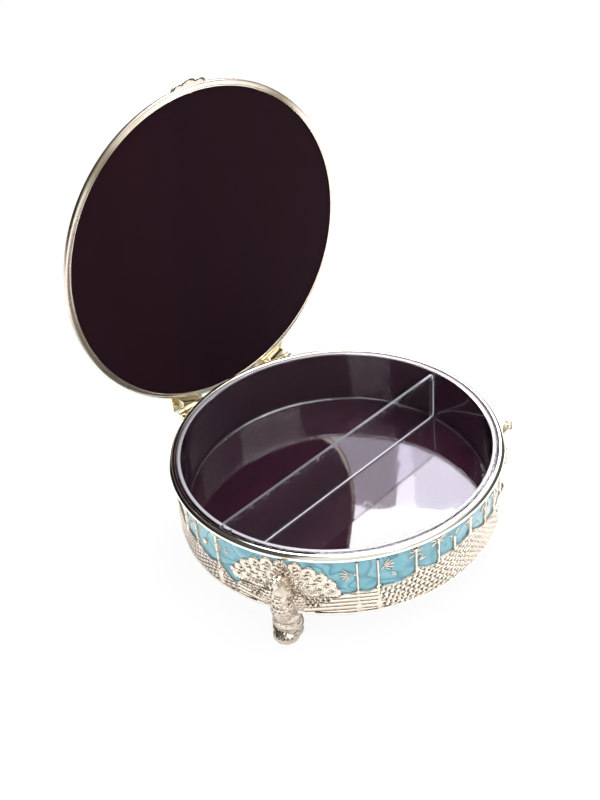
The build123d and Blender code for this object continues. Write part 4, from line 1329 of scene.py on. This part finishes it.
span = np.arange(-LID_ENAMEL_EDGE, LID_ENAMEL_EDGE + LID_CELL, LID_CELL)
lid_x, lid_y = np.meshgrid(span, span)
lid_r = np.hypot(lid_x, lid_y)
ornament = np.where(lid_r < ROSETTE_RADIUS - 5, 1.0, UNDER)
for ring, count, wide, tall, first in EYE_RINGS:
    for n in range(count):
        way = 2 * math.pi * (n + first) / count
        at = (ring * math.cos(way), ring * math.sin(way))
        ornament = feather_eye(lid_x - at[0], lid_y - at[1], way, wide, tall, ornament)
for n in range(8):
    ornament = np.maximum(ornament, leaf(lid_x, lid_y, (0, 0), 45 * n, 10.5, 6.4, 1.7))
ornament = np.maximum(ornament, mound(lid_r / 2.6, 2.0))
for n in range(LID_CANES):
    way = 2 * math.pi * n / LID_CANES
    far = lid_x * math.cos(way) + lid_y * math.sin(way)
    side = lid_y * math.cos(way) - lid_x * math.sin(way)
    joint = from_joint(far, LID_JOINT_PITCH)
    inside = (far > ROSETTE_RADIUS - 2) & (far < BORDER_INNER)
    d = np.abs(side) / swollen(LID_CANE_HALF, joint)
    cane = mound(np.where(inside, d, 2), 1.5)
    ornament = np.maximum(ornament, cane - 0.3 * (joint < 0.3) * (cane > EDGE))
    for out, lean in LID_LEAVES:
        at = (out * math.cos(way), out * math.sin(way))
        blade = leaf(lid_x, lid_y, at, math.degrees(way) + lean, 8.5, 2.6, 1.4)
        ornament = np.maximum(ornament, blade)
ornament = np.where(lid_r < LID_ENAMEL_EDGE, ornament, UNDER)
keep = grown_by_one(ornament > UNDER + 0.02)
dome = dome_z(np.minimum(lid_r, 100))
ornament = ornament * np.minimum(1, (HIGHEST_ORNAMENT - dome) / EYE_HEIGHT)
points = np.stack([lid_x, lid_y, dome + ornament], -1) * MM
# Painted shade in the ornament's recesses.
recess = recess_of(np.maximum(ornament, ENAMEL_RISE))
lid_ornament = grid_mesh("lid_ornament", points, keep, relief_plating, {"recess": recess})
lid_ornament.data.transform(swing_open)
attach(lid_ornament, "lid")
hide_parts("lid_rosette")


# Thumb tab
# A small cast crest of three lobes against the front of the lid's ring, fluted from its root,
# where the thumb lifts the lid.
tab_balls = [
    ((0, -110.6, 73.3), (6.6, 5.0, 1.5)),
    ((-7.2, -110.0, 73.3), (6.2, 4.1, 1.4)),
    ((7.2, -110.0, 73.3), (6.2, 4.1, 1.4)),
]
tab_skin = sculpted("crest_tab", tab_balls, [], 0.3, relief_plating, 2)
spots, away = points_of(tab_skin), normals_of(tab_skin)
spread_out = np.arctan2(spots[:, 0], -(spots[:, 1] + 96))
flute = np.cos(spread_out * 26) * 0.05
spots = spots + away * flute[:, None] * (np.abs(away[:, 2:3]) > 0.3)
inside = np.hypot(spots[:, 0], spots[:, 1]) < LID_RADIUS - 0.8
spots[:, 2] = np.where(inside, np.clip(spots[:, 2], LID_BASE + 0.3, 74.2), spots[:, 2])
spots[:, 2] = np.clip(spots[:, 2], LID_BASE + 0.5, 75.0)
set_points(tab_skin, spots * MM)
# Painted shade in the flutes, over an even toned colour for the whole tab.
set_layer(tab_skin, "recess", 0.16 + np.clip(-flute / 0.1, 0, 1) * 0.1)
tab_skin.shade_smooth()
tab_skin.transform(swing_open)
crest_tab = keep_mesh("crest_tab", tab_skin, None)
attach(crest_tab, "lid")
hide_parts("thumb_tab")


# Hinges
# Two butt hinges of pale gold plated brass. The leaves are shaped to the round wall and rim, with
# filed edges; three knuckles turn on a headed steel pin.
HINGE_LEAVES = (("base_leaf_left", "root"), ("base_leaf_right", "root"),
                ("lid_leaf_left", "lid"), ("lid_leaf_right", "lid"))
GOLD = (0.80, 0.735, 0.54, 1)
GOLD_TONED = (0.52, 0.45, 0.28, 1)
FILED_EDGE = 0.22
gold_plating = plated_metal("gold_plating", GOLD, GOLD_TONED, 0.14, 0.3, bump=0.08)
for node, body in HINGE_LEAVES:
    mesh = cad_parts[node].data.copy()
    made = bmesh.new()
    made.from_mesh(mesh)
    bmesh.ops.remove_doubles(made, verts=made.verts, dist=1e-6)
    bmesh.ops.dissolve_limit(made, angle_limit=math.radians(1), verts=made.verts,
                             edges=made.edges)
    made.to_mesh(mesh)
    made.free()
    mesh.materials.clear()
    leaf_piece = keep_mesh(f"{node}_filed", mesh, gold_plating)
    filed = leaf_piece.modifiers.new("filed", "BEVEL")
    filed.width = FILED_EDGE * MM
    filed.segments = 2
    filed.limit_method = "ANGLE"
    filed.angle_limit = math.radians(40)
    leaf_piece.data = with_modifiers(leaf_piece)
    leaf_piece.modifiers.clear()
    shade(leaf_piece.data, 35)
    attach(leaf_piece, body)
    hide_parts(node)
